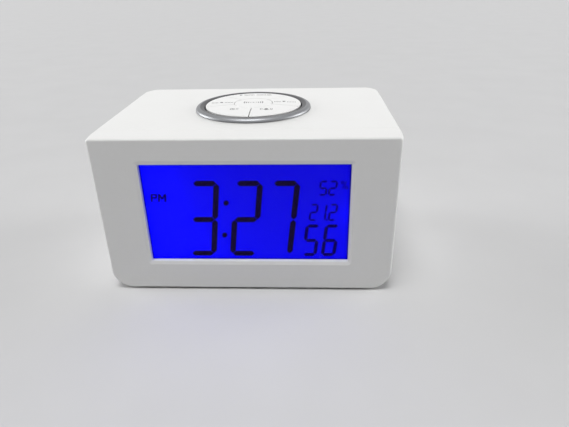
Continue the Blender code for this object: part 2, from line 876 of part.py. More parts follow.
def make_dial_ring(material):
    """The chrome ring: a rounded bead on the case top over a skirt in the dial hole."""
    crest = ring_crest_height
    profile = [(ring_inner_radius, ring_inner_height)]
    rise = crest - ring_inner_height
    reach = ring_crest_radius - ring_inner_radius
    profile += arc((ring_crest_radius, ring_inner_height), (reach, rise), 150.0, 90.0, 3)
    fall = crest - gap
    reach = ring_outer_radius - ring_crest_radius
    profile += arc((ring_crest_radius, gap), (reach, fall), 72.0, 0.0, 5)
    profile += [(skirt_radius, gap), (skirt_radius, -wall), (ring_inner_radius, -wall)]
    ring = turned("dial_ring", profile, (0.0, dial_offset_y, top_z), steps=ring_steps)
    return as_part(ring, material)


def dial_disc(name):
    """The domed disc that the six keys are cut from."""
    plate_low = key_plate_z - top_z
    profile = [(0.0, key_crown_height)]
    drop = key_crown_height - key_shoulder_height
    for share in key_crown_shares:
        profile.append((key_shoulder_radius * share, key_crown_height - drop * share * share))
    reach = key_disc_radius - key_shoulder_radius
    fall = key_shoulder_height - key_edge_height
    profile += arc((key_shoulder_radius, key_edge_height), (reach, fall), 50.0, 0.0, 2)
    profile += [(key_disc_radius, plate_low), (0.0, plate_low)]
    return turned(name, profile, (0.0, dial_offset_y, top_z), steps=ring_steps)


def sector_outline(start, end):
    """An outer key seen from above, with half a groove taken off each side."""
    inner = centre_key_radius + key_groove
    outer = key_disc_radius + overrun
    outer_trim = math.degrees(math.asin(key_groove / 2 / outer))
    inner_trim = math.degrees(math.asin(key_groove / 2 / inner))
    steps = round((end - start) / arc_step)
    centre = (0.0, dial_offset_y)
    points = arc(centre, (outer, outer), start + outer_trim, end - outer_trim, steps)
    points += arc(centre, (inner, inner), end - inner_trim, start + inner_trim, steps)
    return points


def stem_profile():
    """A key's stem with its barbed foot, measured down from the key's plate."""
    plate_low = key_plate_z + bond
    barb_top = barb_top_z - plate_low
    barb_low = barb_bottom_z - plate_low
    chamfer = stem_barb_radius - stem_radius
    return [(0.0, 0.0), (stem_radius, 0.0), (stem_radius, barb_top), (stem_barb_radius, barb_top),
            (stem_barb_radius, barb_low + chamfer), (stem_radius, barb_low), (0.0, barb_low)]


def key_places():
    """The centre of each key's stem, which is also its joint's axis."""
    places = {"key_centre": (0.0, dial_offset_y)}
    for name, (start, end) in key_sectors.items():
        angle = math.radians((start + end) / 2)
        places[name] = (stem_circle * math.cos(angle),
                        dial_offset_y + stem_circle * math.sin(angle))
    return places


def make_keys(material):
    low = key_plate_z - overrun
    high = top_z + key_crown_height + overrun
    centre = (0.0, dial_offset_y)
    for name, (x, y) in key_places().items():
        if name in key_sectors:
            outline = sector_outline(*key_sectors[name])
        else:
            outline = arc(centre, (centre_key_radius, centre_key_radius), 0.0, 352.5, 47)
        key = dial_disc(name)
        boolean(key, plate(name + "_outline", "XY", [outline], low, high), "INTERSECT")
        weld(key, turned(name + "_stem", stem_profile(), (x, y, key_plate_z + bond), steps=16))
        mesh = finished_mesh(key)
        mesh.transform(Matrix.Translation((-x, -y, -key_plate_z)))
        piece = bpy.data.objects.new(name, mesh)
        piece.location = (x, y, key_plate_z)
        as_part(piece, material)


def make_key_guide(material):
    """The plate that the stems slide in, with a rim that stands on the key board."""
    low = key_board_top_z + gap
    guide = rod("key_guide", guide_radius, (0.0, dial_offset_y, low),
                (0.0, dial_offset_y, guide_top_z), 48)
    hollow = rod("guide_hollow", guide_radius - guide_rim_wall,
                 (0.0, dial_offset_y, low - overrun), (0.0, dial_offset_y, guide_bottom_z), 48)
    holes = [rod("stem_hole", stem_radius + gap, (x, y, guide_bottom_z - overrun),
                 (x, y, guide_top_z + overrun), 16) for x, y in key_places().values()]
    cut(guide, hollow, group("stem_holes", holes))
    return as_part(guide, material)


def make_key_mat(material):
    """The silicone mat, with a dome under each stem."""
    mat_radius = guide_radius - guide_rim_wall - gap
    mat = rod("key_mat", mat_radius, (0.0, dial_offset_y, mat_bottom_z),
              (0.0, dial_offset_y, mat_top_z), 48)
    domes = [rod("dome", dome_radius, (x, y, mat_top_z - bond), (x, y, dome_top_z), 16,
                 dome_top_radius) for x, y in key_places().values()]
    weld(mat, group("mat_domes", domes))
    return as_part(mat, material)


def make_key_board(material):
    centre = (0.0, dial_offset_y)
    outline = arc(centre, (key_board_radius, key_board_radius), 0.0, 352.5, 47)
    hole_radius = board_screw_radius + gap
    holes = [arc(place, (hole_radius, hole_radius), 360.0, 30.0, 11)
             for place in key_boss_places()]
    board = plate("key_board", "XY", [outline] + holes, key_board_bottom_z, key_board_top_z)
    return as_part(board, material)


def bezier(start, start_pull, end_pull, end, count):
    points = []
    for step in range(count + 1):
        t = step / count
        s = 1 - t
        points.append(s * s * s * Vector(start) + 3 * s * s * t * Vector(start_pull)
                      + 3 * s * t * t * Vector(end_pull) + t * t * t * Vector(end))
    return points


def make_ribbon_cable(material):
    """A flat cable, drawn from the side as a strip and as wide as the ribbon."""
    depth, height = socket_size[1:]
    start_y = board_back_y + gap + depth / 2
    start_z = window_z + socket_rise + height / 2 + gap
    end_y = start_y + ribbon_drop_y
    end_z = key_board_bottom_z - gap
    path = bezier((start_y, start_z), (start_y, start_z + ribbon_reach),
                  (end_y, end_z - ribbon_reach), (end_y, end_z), 12)
    half = ribbon_thickness / 2
    left = []
    right = []
    for index, point in enumerate(path):
        run = path[min(index + 1, len(path) - 1)] - path[max(index - 1, 0)]
        if index in (0, len(path) - 1):
            run = Vector((0.0, 1.0))
        side = Vector((-run.y, run.x)).normalized() * half
        left.append(tuple(point + side))
        right.append(tuple(point - side))
    strip = plate("ribbon_cable", "YZ", [right + left[::-1]],
                  -ribbon_width / 2, ribbon_width / 2)
    return as_part(strip, material)


def make_speaker(metal, paper, ferrite):
    place = (speaker_x, speaker_y, speaker_z)
    out = (0.0, 1.0, 0.0)
    inner_floor = basket_wall - basket_depth
    basket = [(0.0, inner_floor), (basket_throat_radius, inner_floor),
              (basket_rim_radius, -speaker_flange - gap), (basket_rim_radius, 0.0),
              (speaker_radius, 0.0), (speaker_radius, -speaker_flange),
              (basket_rim_radius + basket_wall / 2, -speaker_flange - basket_wall),
              (basket_throat_radius + basket_wall, -basket_depth), (0.0, -basket_depth)]
    as_part(turned("speaker_basket", basket, place, out, 32), metal)
    edge = -cone_edge_drop
    throat = -cone_throat_drop
    cap_edge = throat + cone_cap_rise * cone_cap_share
    cone = [(0.0, throat + cone_cap_rise), (cone_throat_radius / 2, cap_edge),
            (cone_throat_radius, throat), (cone_radius, edge), (cone_radius, edge - cone_thickness),
            (cone_throat_radius, throat - cone_thickness), (0.0, throat - cone_thickness)]
    as_part(turned("speaker_cone", cone, place, out, 32), paper)
    magnet_front = (speaker_x, speaker_y - basket_depth - gap, speaker_z)
    as_part(rod("speaker_magnet", magnet_radius, magnet_front,
                (speaker_x, magnet_back_y, speaker_z), 32), ferrite)


def make_sensor(board_green, white):
    half_width = sensor_board_width / 2
    half_height = sensor_board_height / 2
    face = sensor_board_y
    as_part(box("sensor_board",
                (sensor_x - half_width, face - sensor_board_thickness, sensor_z - half_height),
                (sensor_x + half_width, face, sensor_z + half_height)), board_green)
    width, depth, height = sensor_chip_size
    as_part(box("climate_sensor", (sensor_x - width / 2, face + gap, sensor_z - height / 2),
                (sensor_x + width / 2, face + gap + depth, sensor_z + height / 2)), white)


def cell_y(index):
    pitch = 2 * cell_radius + cell_spacing
    return bay_front_y + cell_spacing + cell_radius + index * pitch


def make_cells(material):
    """Three cells lying along X, head to tail."""
    chamfer = cell_spacing / 2
    half = (cell_length + cell_nub_length) / 2
    top = cell_length - half
    profile = [(0.0, half), (cell_nub_radius, half), (cell_nub_radius, top),
               (cell_radius - chamfer, top), (cell_radius, top - chamfer),
               (cell_radius, chamfer - half), (cell_radius - chamfer, -half), (0.0, -half)]
    for index in range(cell_count):
        way = 1.0 if index % 2 else -1.0
        cell = turned("cell_%d" % (index + 1), profile, (0.0, cell_y(index), cell_z),
                      (way, 0.0, 0.0), 20)
        as_part(cell, material)


def make_contacts(material):
    """Sprung end plates: one spans two cells on each side, and one serves one cell."""
    spans = {"contact_left_link": (-1, 0, 1), "contact_left_end": (-1, 2, 2),
             "contact_right_end": (1, 0, 0), "contact_right_link": (1, 1, 2)}
    half_cell = (cell_length + cell_nub_length) / 2
    for name, (side, first, last) in spans.items():
        outer = side * (bay_half_width - gap)
        inner = outer - side * contact_plate_thickness
        low_y = cell_y(first) - cell_radius + gap
        high_y = cell_y(last) + cell_radius - gap
        plate_piece = box(name, (min(inner, outer), low_y, cell_z - cell_radius + gap),
                          (max(inner, outer), high_y, cell_z + cell_radius - gap))
        tip = side * (half_cell + gap)
        nubs = [rod(name + "_nub", contact_cone_radius,
                    (inner + side * contact_plate_thickness / 2, cell_y(index), cell_z),
                    (tip, cell_y(index), cell_z), 16, contact_tip_radius)
                for index in range(first, last + 1)]
        weld(plate_piece, group(name + "_nubs", nubs))
        as_part(plate_piece, material)


def make_battery_tray(material):
    """The roof and walls of the battery bay, with side flanges on the case floor."""
    outer_half = bay_half_width + tray_wall
    front = bay_front_y - tray_wall
    back = bay_back_y + tray_wall
    tray = box("battery_tray", (-outer_half, front, tray_low_z),
               (outer_half, back, tray_roof_z + tray_wall))
    flange_half = tongue_half_width + gap + tray_flange
    flange = box("tray_flanges", (-flange_half, front, tray_low_z),
                 (flange_half, back, tray_low_z + tray_wall))
    weld(tray, flange)
    bay = box("tray_bay", (-bay_half_width, bay_front_y, tray_low_z - overrun),
              (bay_half_width, bay_back_y, tray_roof_z))
    cut(tray, bay)
    return as_part(tray, material)


def make_battery_door(material):
    """A sliding plate whose side tongues run over the lips of the base."""
    door = box("battery_door", (-door_half_width, door_front_y, base_z),
               (door_half_width, door_back_y, door_top_z))
    tongues = box("door_tongues", (-tongue_half_width, door_front_y, tongue_bottom_z),
                  (tongue_half_width, door_back_y, door_top_z))
    weld(door, tongues)
    grips = []
    for index in range(door_grip_count):
        y = door_back_y - door_grip_end - index * door_grip_pitch
        grips.append(box("door_grip",
                         (-door_grip_length / 2, y - door_grip_width / 2, base_z - overrun),
                         (door_grip_length / 2, y + door_grip_width / 2,
                          base_z + door_grip_depth)))
    cut(door, group("door_grips", grips))
    return as_part(door, material)


def make_feet(material):
    for name, (x, y) in foot_places().items():
        foot = rod(name, foot_radius, (x, y, 0.0),
                   (x, y, base_z + foot_pocket_depth - gap), 28)
        as_part(foot, material)


def cable(name, start, start_way, end, end_way, material):
    """A soft cable that leaves and meets its ends square, in one smooth bend."""
    start_pull = Vector(start) + Vector(start_way) * cable_bend
    end_pull = Vector(end) + Vector(end_way) * cable_reach
    points = bezier(start, start_pull, end_pull, end, cable_points)
    curve = bpy.data.curves.new(name, "CURVE")
    curve.dimensions = "3D"
    curve.bevel_depth = cable_radius
    curve.bevel_resolution = 2
    curve.use_fill_caps = True
    spline = curve.splines.new("POLY")
    spline.points.add(len(points) - 1)
    for point, place in zip(spline.points, points):
        point.co = (*place, 1.0)
    as_part(bpy.data.objects.new(name, curve), material)


def make_cables(black, red, grey):
    face = board_back_y + gap + cable_radius / 4
    low = board_low_z + cable_end_rise
    magnet_low = speaker_z - magnet_radius - gap
    cable("speaker_cable", (speaker_cable_x, magnet_back_y + magnet_thickness / 2, magnet_low),
          (0.0, 0.0, -1.0), (speaker_cable_end_x, face, low), (0.0, 1.0, 0.0), black)
    tray_side = bay_half_width + tray_wall + gap
    cable("battery_cable", (tray_side, battery_cable_y, tray_low_z + battery_cable_rise),
          (1.0, 0.0, 0.0), (battery_cable_end_x, face, low), (0.0, 1.0, 0.0), red)
    cable("sensor_cable",
          (sensor_x, sensor_board_y - sensor_board_thickness - gap, sensor_z),
          (0.0, -1.0, 0.0), (sensor_cable_end_x, face, low), (0.0, 1.0, 0.0), grey)


def build():
    clear_scene()
    white_plastic = finish("white_plastic", (0.86, 0.86, 0.84), 0.42)
    key_plastic = finish("key_plastic", (0.90, 0.90, 0.89), 0.38)
    chrome = finish("satin_chrome", (0.62, 0.63, 0.66), 0.22, 1.0)
    clear = finish("clear_acrylic", (0.90, 0.92, 0.95), 0.05)
    glass = finish("display_glass", (0.02, 0.02, 0.75), 0.12)
    acrylic = finish("light_guide_acrylic", (0.55, 0.65, 0.95), 0.20)
    board_green = finish("circuit_board", (0.05, 0.22, 0.10), 0.45)
    natural = finish("natural_plastic", (0.75, 0.76, 0.74), 0.50)
    reflector = finish("reflector_white", (0.92, 0.92, 0.92), 0.60)
    rubber = finish("black_rubber", (0.03, 0.03, 0.03), 0.80)
    pad_rubber = finish("grey_rubber", (0.30, 0.30, 0.31), 0.85)
    silicone = finish("silicone", (0.55, 0.57, 0.58), 0.60)
    conductive = finish("zebra_rubber", (0.45, 0.42, 0.40), 0.70)
    black = finish("black_epoxy", (0.02, 0.02, 0.02), 0.35)
    steel = finish("plated_steel", (0.66, 0.67, 0.68), 0.30, 1.0)
    paper = finish("cone_paper", (0.05, 0.05, 0.05), 0.85)
    ferrite = finish("ferrite", (0.08, 0.08, 0.09), 0.65)
    jacket = finish("cell_jacket", (0.10, 0.10, 0.12), 0.35)
    red = finish("cable_red", (0.55, 0.03, 0.03), 0.50)
    grey = finish("cable_grey", (0.45, 0.45, 0.46), 0.55)

    make_front_bezel(white_plastic)
    make_rear_case(white_plastic)
    make_display(clear, rubber, glass, acrylic, reflector, board_green)
    make_lcd_holder(natural)
    make_zebra_strip(conductive)
    make_main_board(board_green)
    make_board_parts(black, black, steel, natural)
    make_screws(steel)
    make_dial_ring(chrome)
    make_keys(key_plastic)
    make_key_guide(natural)
    make_key_mat(silicone)
    make_key_board(board_green)
    make_ribbon_cable(grey)
    make_speaker(steel, paper, ferrite)
    make_sensor(board_green, natural)
    make_battery_tray(natural)
    make_cells(jacket)
    make_contacts(steel)
    make_battery_door(white_plastic)
    make_feet(pad_rubber)
    make_cables(black, red, grey)


build()
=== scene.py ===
# %% [markdown]
# # A talking alarm clock, dressed for its portrait
# The pack holds every piece of the clock as a plain solid at its real size. This script loads
# them as a fixed frame, builds finer skins over the ones that show, gives every piece a material
# made of nodes, and lights the clock like a small studio. Everything is in metres, the display
# facing -Y and the table at Z = 0.

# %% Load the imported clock
import math
from functools import partialmethod

import bmesh
import bpy
from mathutils import Matrix, Vector


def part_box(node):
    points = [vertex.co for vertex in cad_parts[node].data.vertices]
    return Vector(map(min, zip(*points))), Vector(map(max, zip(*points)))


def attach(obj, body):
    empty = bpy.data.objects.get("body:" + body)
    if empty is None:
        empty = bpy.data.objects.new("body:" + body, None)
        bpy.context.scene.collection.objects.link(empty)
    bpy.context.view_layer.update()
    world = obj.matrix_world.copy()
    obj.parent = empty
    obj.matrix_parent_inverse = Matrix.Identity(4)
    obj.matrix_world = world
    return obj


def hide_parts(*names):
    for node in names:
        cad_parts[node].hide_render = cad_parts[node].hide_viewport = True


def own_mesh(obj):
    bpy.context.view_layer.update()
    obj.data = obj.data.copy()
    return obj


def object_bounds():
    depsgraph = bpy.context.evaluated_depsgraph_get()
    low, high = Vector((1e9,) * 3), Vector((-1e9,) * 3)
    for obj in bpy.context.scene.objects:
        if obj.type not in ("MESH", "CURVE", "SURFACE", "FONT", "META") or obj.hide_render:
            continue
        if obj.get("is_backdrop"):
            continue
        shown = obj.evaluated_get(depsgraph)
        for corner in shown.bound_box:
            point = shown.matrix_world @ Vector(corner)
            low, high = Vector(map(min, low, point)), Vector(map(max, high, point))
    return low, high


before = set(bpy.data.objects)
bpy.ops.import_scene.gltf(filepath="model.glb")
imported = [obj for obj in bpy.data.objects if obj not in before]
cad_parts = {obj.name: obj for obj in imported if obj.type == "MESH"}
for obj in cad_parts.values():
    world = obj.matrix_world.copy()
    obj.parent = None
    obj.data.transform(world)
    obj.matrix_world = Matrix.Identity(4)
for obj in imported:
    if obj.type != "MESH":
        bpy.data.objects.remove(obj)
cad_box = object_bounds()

MM = 0.001
scene = bpy.context.scene

# %% [markdown]
# ## The camera
# A photograph's straight edges run to vanishing points, and those give the lens and the tilt of
# the camera. It stood 14 cm above the table and 24 cm in front of the clock. A camera starts out
# looking straight down, so it is turned up to the horizon first, then down by its tilt.

# %% Camera at the photograph's angle
IMAGE_WIDTH_PIXELS = 569
FOCAL_LENGTH_PIXELS = 487.2
SENSOR_WIDTH = 36.0
CAMERA_PLACE = (26.56 * MM, -241.57 * MM, 136.71 * MM)
camera_turn, camera_tilt, camera_roll = (math.radians(a) for a in (2.82, 26.39, 1.22))

camera_data = bpy.data.cameras.new("portrait_camera")
camera_data.sensor_fit = "HORIZONTAL"
camera_data.sensor_width = SENSOR_WIDTH
camera_data.lens = FOCAL_LENGTH_PIXELS / IMAGE_WIDTH_PIXELS * SENSOR_WIDTH
camera_data.clip_start = 10 * MM
camera = bpy.data.objects.new("portrait_camera", camera_data)
camera.matrix_world = (Matrix.Translation(CAMERA_PLACE)
                       @ Matrix.Rotation(camera_turn, 4, "Z")
                       @ Matrix.Rotation(math.pi / 2 - camera_tilt, 4, "X")
                       @ Matrix.Rotation(-camera_roll, 4, "Z"))
scene.collection.objects.link(camera)
scene.camera = camera
scene.view_settings.view_transform = "Standard"
print("lens %.1f mm" % camera_data.lens)

# %% [markdown]
# ## Wiring nodes
# A material is a small network. One helper adds a node and another fills in its inputs. A field
# is a number that changes over the surface: a sum on it becomes a Math node, so a formula can be
# written as one.

# %% Helpers for node networks
def fill(tree, node, values):
    """Wires or sets a node's inputs, by name or number."""
    for name, value in values.items():
        value = value.socket if isinstance(value, Field) else value
        if isinstance(value, bpy.types.NodeSocket):
            tree.links.new(value, node.inputs[name])
        else:
            node.inputs[name].default_value = value


def add_node(tree, kind, values=None, **settings):
    node = tree.nodes.new("ShaderNode" + kind)
    for name, value in settings.items():
        setattr(node, name, value)
    fill(tree, node, values or {})
    return node


class Field:
    """A number that changes over the surface."""

    def __init__(self, tree, socket):
        self.tree, self.socket = tree, socket

    def math(self, operation, other=0.0):
        node = add_node(self.tree, "Math", {0: self.socket, 1: other}, operation=operation)
        return Field(self.tree, node.outputs[0])

    __add__ = partialmethod(math, "ADD")
    __sub__ = partialmethod(math, "SUBTRACT")
    __mul__ = partialmethod(math, "MULTIPLY")
    __truediv__ = partialmethod(math, "DIVIDE")

    def clamped(self):
        self.socket.node.use_clamp = True
        return self

    def noise(self, scale, detail=3.0, **more):
        values = {"Vector": self, "Scale": scale, "Detail": detail, **more}
        return Field(self.tree, add_node(self.tree, "TexNoise", values).outputs[0])

    def blend(self, first, second):
        """Joins two colours, with this field as the mask."""
        values = {0: self, 6: first, 7: second}
        return add_node(self.tree, "Mix", values, data_type="RGBA").outputs[2]


def fields(tree, kind, values=None):
    """The outputs of a new node, as fields by name."""
    return {socket.name: Field(tree, socket) for socket in add_node(tree, kind, values).outputs}


def new_material(name, shader_values, group=None, group_values=None, depth=0.0):
    """Wires a group into a new shader, its height as a bump as deep as the real grain."""
    material = bpy.data.materials.new(name)
    material.use_nodes = True
    tree = material.node_tree
    shader = tree.nodes["Principled BSDF"]
    fill(tree, shader, shader_values)
    if group:
        made = add_node(tree, "Group", group_values, node_tree=group).outputs
        for label, output in (("Base Color", "Colour"), ("Roughness", "Roughness")):
            if output in made:
                fill(tree, shader, {label: made[output]})
        if depth:
            bump = add_node(tree, "Bump", {"Height": made["Height"], "Distance": depth})
            fill(tree, shader, {"Normal": bump.outputs[0]})
    return tree, shader


print("node helpers ready")

# %% [markdown]
# ## The studio
# One lamp hangs nearly overhead and a little in front: the clock's top is its brightest face, its
# front lies in gentle shade, and the window's sloping rim reads. Two more stand low at the sides
# and draw a bright line down the front's rounded edges. All three are wide suns, because a sun
# lights the whole floor evenly. The surround is brighter for the camera and for glossy and
# transparent rays than for the light that it gives.

# %% World and floor
SURROUND_LIGHT = 0.12
FLOOR_SIZE = 14.0
WHITE = (1.0, 1.0, 1.0, 1.0)
SQUARE = ((-1, -1), (1, -1), (1, 1), (-1, 1))

world = bpy.data.worlds.new("studio")
scene.world = world
world.use_nodes = True
tree = world.node_tree
tree.nodes.clear()
rays = fields(tree, "LightPath")
seen = rays["Is Camera Ray"].math("MAXIMUM", rays["Is Glossy Ray"])
seen = seen.math("MAXIMUM", rays["Is Transmission Ray"])
lighting, backdrop = (add_node(tree, "Background", {"Color": WHITE, "Strength": strength})
                      for strength in (SURROUND_LIGHT, 1.0))
mixed = add_node(tree, "MixShader", {0: seen, 1: lighting.outputs[0], 2: backdrop.outputs[0]})
add_node(tree, "OutputWorld", {"Surface": mixed.outputs[0]})

half = FLOOR_SIZE / 2
floor_mesh = bpy.data.meshes.new("studio_floor")
floor_mesh.from_pydata([(x * half, y * half, 0) for x, y in SQUARE], [], [(0, 1, 2, 3)])
floor = bpy.data.objects.new("studio_floor", floor_mesh)
scene.collection.objects.link(floor)
tree, shader = new_material("floor_paper", {"Roughness": 0.85, "Specular IOR Level": 0.1})
grain = Field(tree, add_node(tree, "TexNoise", {"Scale": 300.0, "Detail": 3.0}).outputs[0])
fill(tree, shader, {"Base Color": grain.blend((0.60, 0.60, 0.605, 1), (0.64, 0.64, 0.645, 1))})
floor_mesh.materials.append(bpy.data.materials["floor_paper"])
floor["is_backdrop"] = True
print("floor %.0f m wide" % FLOOR_SIZE)


# %% Soft lamps
def soft_sun(name, elevation, azimuth, brightness, spread):
    """A wide sun. Azimuth is counted from the front, positive to the clock's right."""
    data = bpy.data.lights.new(name, "SUN")
    data.energy = brightness * math.pi
    data.angle = math.radians(spread)
    lamp = bpy.data.objects.new(name, data)
    up, side = math.radians(elevation), math.radians(azimuth)
    towards = Vector((math.sin(side) * math.cos(up), -math.cos(side) * math.cos(up), math.sin(up)))
    lamp.rotation_euler = towards.to_track_quat("Z", "Y").to_euler()
    lamp.location = towards
    scene.collection.objects.link(lamp)


soft_sun("lamp_overhead", 78, -25, 0.67, 30)
soft_sun("lamp_left", 10, -104, 0.62, 36)
soft_sun("lamp_right", 10, 104, 0.62, 36)
print("3 lamps")

# %% [markdown]
# ## Finishes
# Nothing on a real clock is one flat colour. Moulded plastic has a fine grain, its gloss drifts
# from place to place, and handling leaves a trace of soil. A node group makes that surface once,
# and each plastic gives it its own values. Every solid has its origin at the clock's, so object
# coordinates let the grain run unbroken from piece to piece.

# %% Group: moulded surface
COLOUR, NUMBER = (0.0, 0.0, 0.0, 1.0), 0.0
PATCH_SCALE, SPECK_SCALE = 55.0, 420.0


def new_group(name, inputs, outputs):
    """An empty shader group; returns its tree, its inputs as fields and its output node."""
    tree = bpy.data.node_groups.new(name, "ShaderNodeTree")
    for way, sockets in (("INPUT", inputs), ("OUTPUT", outputs)):
        for label, value in sockets.items():
            kind = "NodeSocketColor" if isinstance(value, tuple) else "NodeSocketFloat"
            socket = tree.interface.new_socket(name=label, in_out=way, socket_type=kind)
            socket.default_value = value
    entry = tree.nodes.new("NodeGroupInput")
    given = {label: Field(tree, entry.outputs[label]) for label in inputs}
    return tree, given, tree.nodes.new("NodeGroupOutput")


moulded_group, given, result = new_group(
    "moulded_surface",
    {"Colour": (0.8, 0.8, 0.8, 1), "Soil Colour": (0.45, 0.42, 0.36, 1), "Soil": 0.03,
     "Roughness": 0.4, "Gloss Drift": 0.08, "Grain Scale": 5000.0},
    {"Colour": COLOUR, "Roughness": NUMBER, "Height": NUMBER})
place = fields(moulded_group, "TexCoord")["Object"]
broad = place.noise(PATCH_SCALE, 4.0, Roughness=0.6)
patch = (broad * place.noise(SPECK_SCALE) * given["Soil"] * 4.0).clamped()
drift = (broad - 0.5) * given["Gloss Drift"] * 2.0
fill(moulded_group, result, {
    "Colour": patch.blend(given["Colour"], given["Soil Colour"]),
    "Roughness": (given["Roughness"] + drift).clamped(),
    "Height": place.noise(given["Grain Scale"], 2.0)})
print("group", moulded_group.name)

# %% [markdown]
# Turned and plated metal shows fine parallel lines. The group takes the distance across the lines
# and makes noise in that direction alone: the radius for a turned ring, or a straight run for
# sheet metal.

# %% Group: drawn lines
lines_group, given, result = new_group(
    "drawn_lines",
    {"Colour": (0.6, 0.6, 0.6, 1), "Across": 0.0, "Line Scale": 9000.0, "Roughness": 0.25,
     "Contrast": 0.12},
    {"Colour": COLOUR, "Roughness": NUMBER, "Height": NUMBER})
lines = add_node(lines_group, "TexNoise",
                 {"W": given["Across"] * given["Line Scale"], "Scale": 1.0, "Detail": 3.0},
                 noise_dimensions="1D")
lines = Field(lines_group, lines.outputs[0])
haze = fields(lines_group, "TexCoord")["Object"].noise(180.0) * given["Contrast"]
offset = (lines - 0.5) * given["Contrast"]
fill(lines_group, result, {
    "Colour": (haze * 0.7).clamped().blend(given["Colour"], (0.12, 0.12, 0.13, 1)),
    "Roughness": (given["Roughness"] + offset + haze * 0.5).clamped(), "Height": lines})
print("group", lines_group.name)

# %% [markdown]
# Circuit boards are laminate under a coloured lacquer, and the copper below shows as a slightly
# raised, paler pattern. A brick texture stands for rows of tracks, and a coarse cell pattern
# leaves some areas without any.

# %% Group: tracks under lacquer
tracks_group, given, result = new_group(
    "tracks_under_lacquer",
    {"Lacquer": (0.02, 0.14, 0.05, 1), "Copper": (0.07, 0.26, 0.09, 1), "Track Scale": 160.0},
    {"Colour": COLOUR, "Height": NUMBER})
place = fields(tracks_group, "TexCoord")["Object"]
rows = add_node(tracks_group, "TexBrick", {
    "Vector": place, "Scale": given["Track Scale"], "Mortar Size": 0.06,
    "Color1": WHITE, "Color2": (0.35, 0.35, 0.35, 1), "Mortar": (0, 0, 0, 1)})
areas = add_node(tracks_group, "TexVoronoi", {"Vector": place, "Scale": 130.0},
                 distance="CHEBYCHEV")
mask = Field(tracks_group, areas.outputs["Distance"]).math("GREATER_THAN", 0.38)
mask = mask * rows.outputs["Color"]
fill(tracks_group, result, {
    "Colour": mask.blend(given["Lacquer"], given["Copper"]), "Height": mask})
print("group", tracks_group.name)

# %% [markdown]
# The display is lit from its two sides, so the blue is strongest at the left edge and in a pool
# at the right. It is also darker in a thin band just inside its edges. This group adds the two
# pools to an even glow and darkens that band. The result is the display's emission colour.

# %% Group: backlight spread
BORDER, BORDER_GLOW = 1.1 * MM, 0.2
LEFT_REACH, RIGHT_REACH, RIGHT_RISE = 25 * MM, 6 * MM, 12 * MM
RIGHT_SHARE, FADE_UPWARDS = 0.6, -170 * MM
backlight_group, given, result = new_group(
    "backlight_spread",
    {"Dim Colour": (0.001, 0.0, 0.50, 1), "Bright Colour": (0.0, 0.0, 1.0, 1),
     "Left": -0.046, "Right": 0.046, "Low": 0.014, "High": 0.062},
    {"Glow": COLOUR})
place = fields(backlight_group, "TexCoord")["Object"]
where = fields(backlight_group, "SeparateXYZ", {0: place})


def falling_away(distance, reach):
    """One at no distance, and a third of that at each further reach."""
    return (distance.math("MAXIMUM") / -reach).math("EXPONENT")


from_left, from_right = where["X"] - given["Left"], given["Right"] - where["X"]
from_low, from_high = where["Z"] - given["Low"], given["High"] - where["Z"]
above_middle = (from_low - from_high) * 0.5
right_pool = (falling_away(from_right, RIGHT_REACH)
              * falling_away(above_middle.math("ABSOLUTE"), RIGHT_RISE))
spread = falling_away(from_left, LEFT_REACH) + right_pool * RIGHT_SHARE
spread = (spread + above_middle / FADE_UPWARDS).clamped()
nearest = from_left.math("MINIMUM", from_right)
nearest = nearest.math("MINIMUM", from_low.math("MINIMUM", from_high))
inside = (nearest / BORDER + BORDER_GLOW).clamped()
glow = spread.blend(given["Dim Colour"], given["Bright Colour"])
fill(backlight_group, result, {"Glow": inside.blend((0.0, 0.0, 0.03, 1), glow)})
print("group", backlight_group.name)


# %% [markdown]
# ## Materials from the groups
# Each maker below sets the numbers that are the same all over the surface on the shader itself,
# and wires in only what changes from place to place.

# %% Makers of materials
METAL_RELIEF = 0.004 * MM


def moulded(name, colour, roughness, grain=5000.0, depth=0.02 * MM, soil=0.03, **shader_values):
    new_material(name, shader_values, moulded_group, {
        "Colour": (*colour, 1), "Roughness": roughness, "Grain Scale": grain, "Soil": soil}, depth)


def metal(name, colour, roughness, centre=None):
    """Plated metal: lines round an upright axis through centre, or straight along X.

    Returns its tree, its group node and the distance across the lines.
    """
    tree, _ = new_material(name, {"Metallic": 1.0}, lines_group, {
        "Colour": (*colour, 1), "Roughness": roughness}, METAL_RELIEF)
    plating = next(node for node in tree.nodes if node.type == "GROUP")
    place = fields(tree, "TexCoord")["Object"]
    if centre is None:
        across = fields(tree, "SeparateXYZ", {0: place})["Z"]
    else:
        flat = add_node(tree, "VectorMath", {0: place, 1: (-centre[0], -centre[1], 0)})
        flat = add_node(tree, "VectorMath", {0: flat.outputs[0], 1: (1, 1, 0)},
                        operation="MULTIPLY")
        flat = add_node(tree, "VectorMath", {0: flat.outputs[0]}, operation="LENGTH")
        across = Field(tree, flat.outputs["Value"])
    fill(tree, plating, {"Across": across})
    return tree, plating, across


dial_low, dial_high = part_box("dial_ring")
dial_x, dial_y = (dial_low.x + dial_high.x) / 2, (dial_low.y + dial_high.y) / 2
print("dial centre at %.2f, %.2f mm" % (dial_x / MM, dial_y / MM))

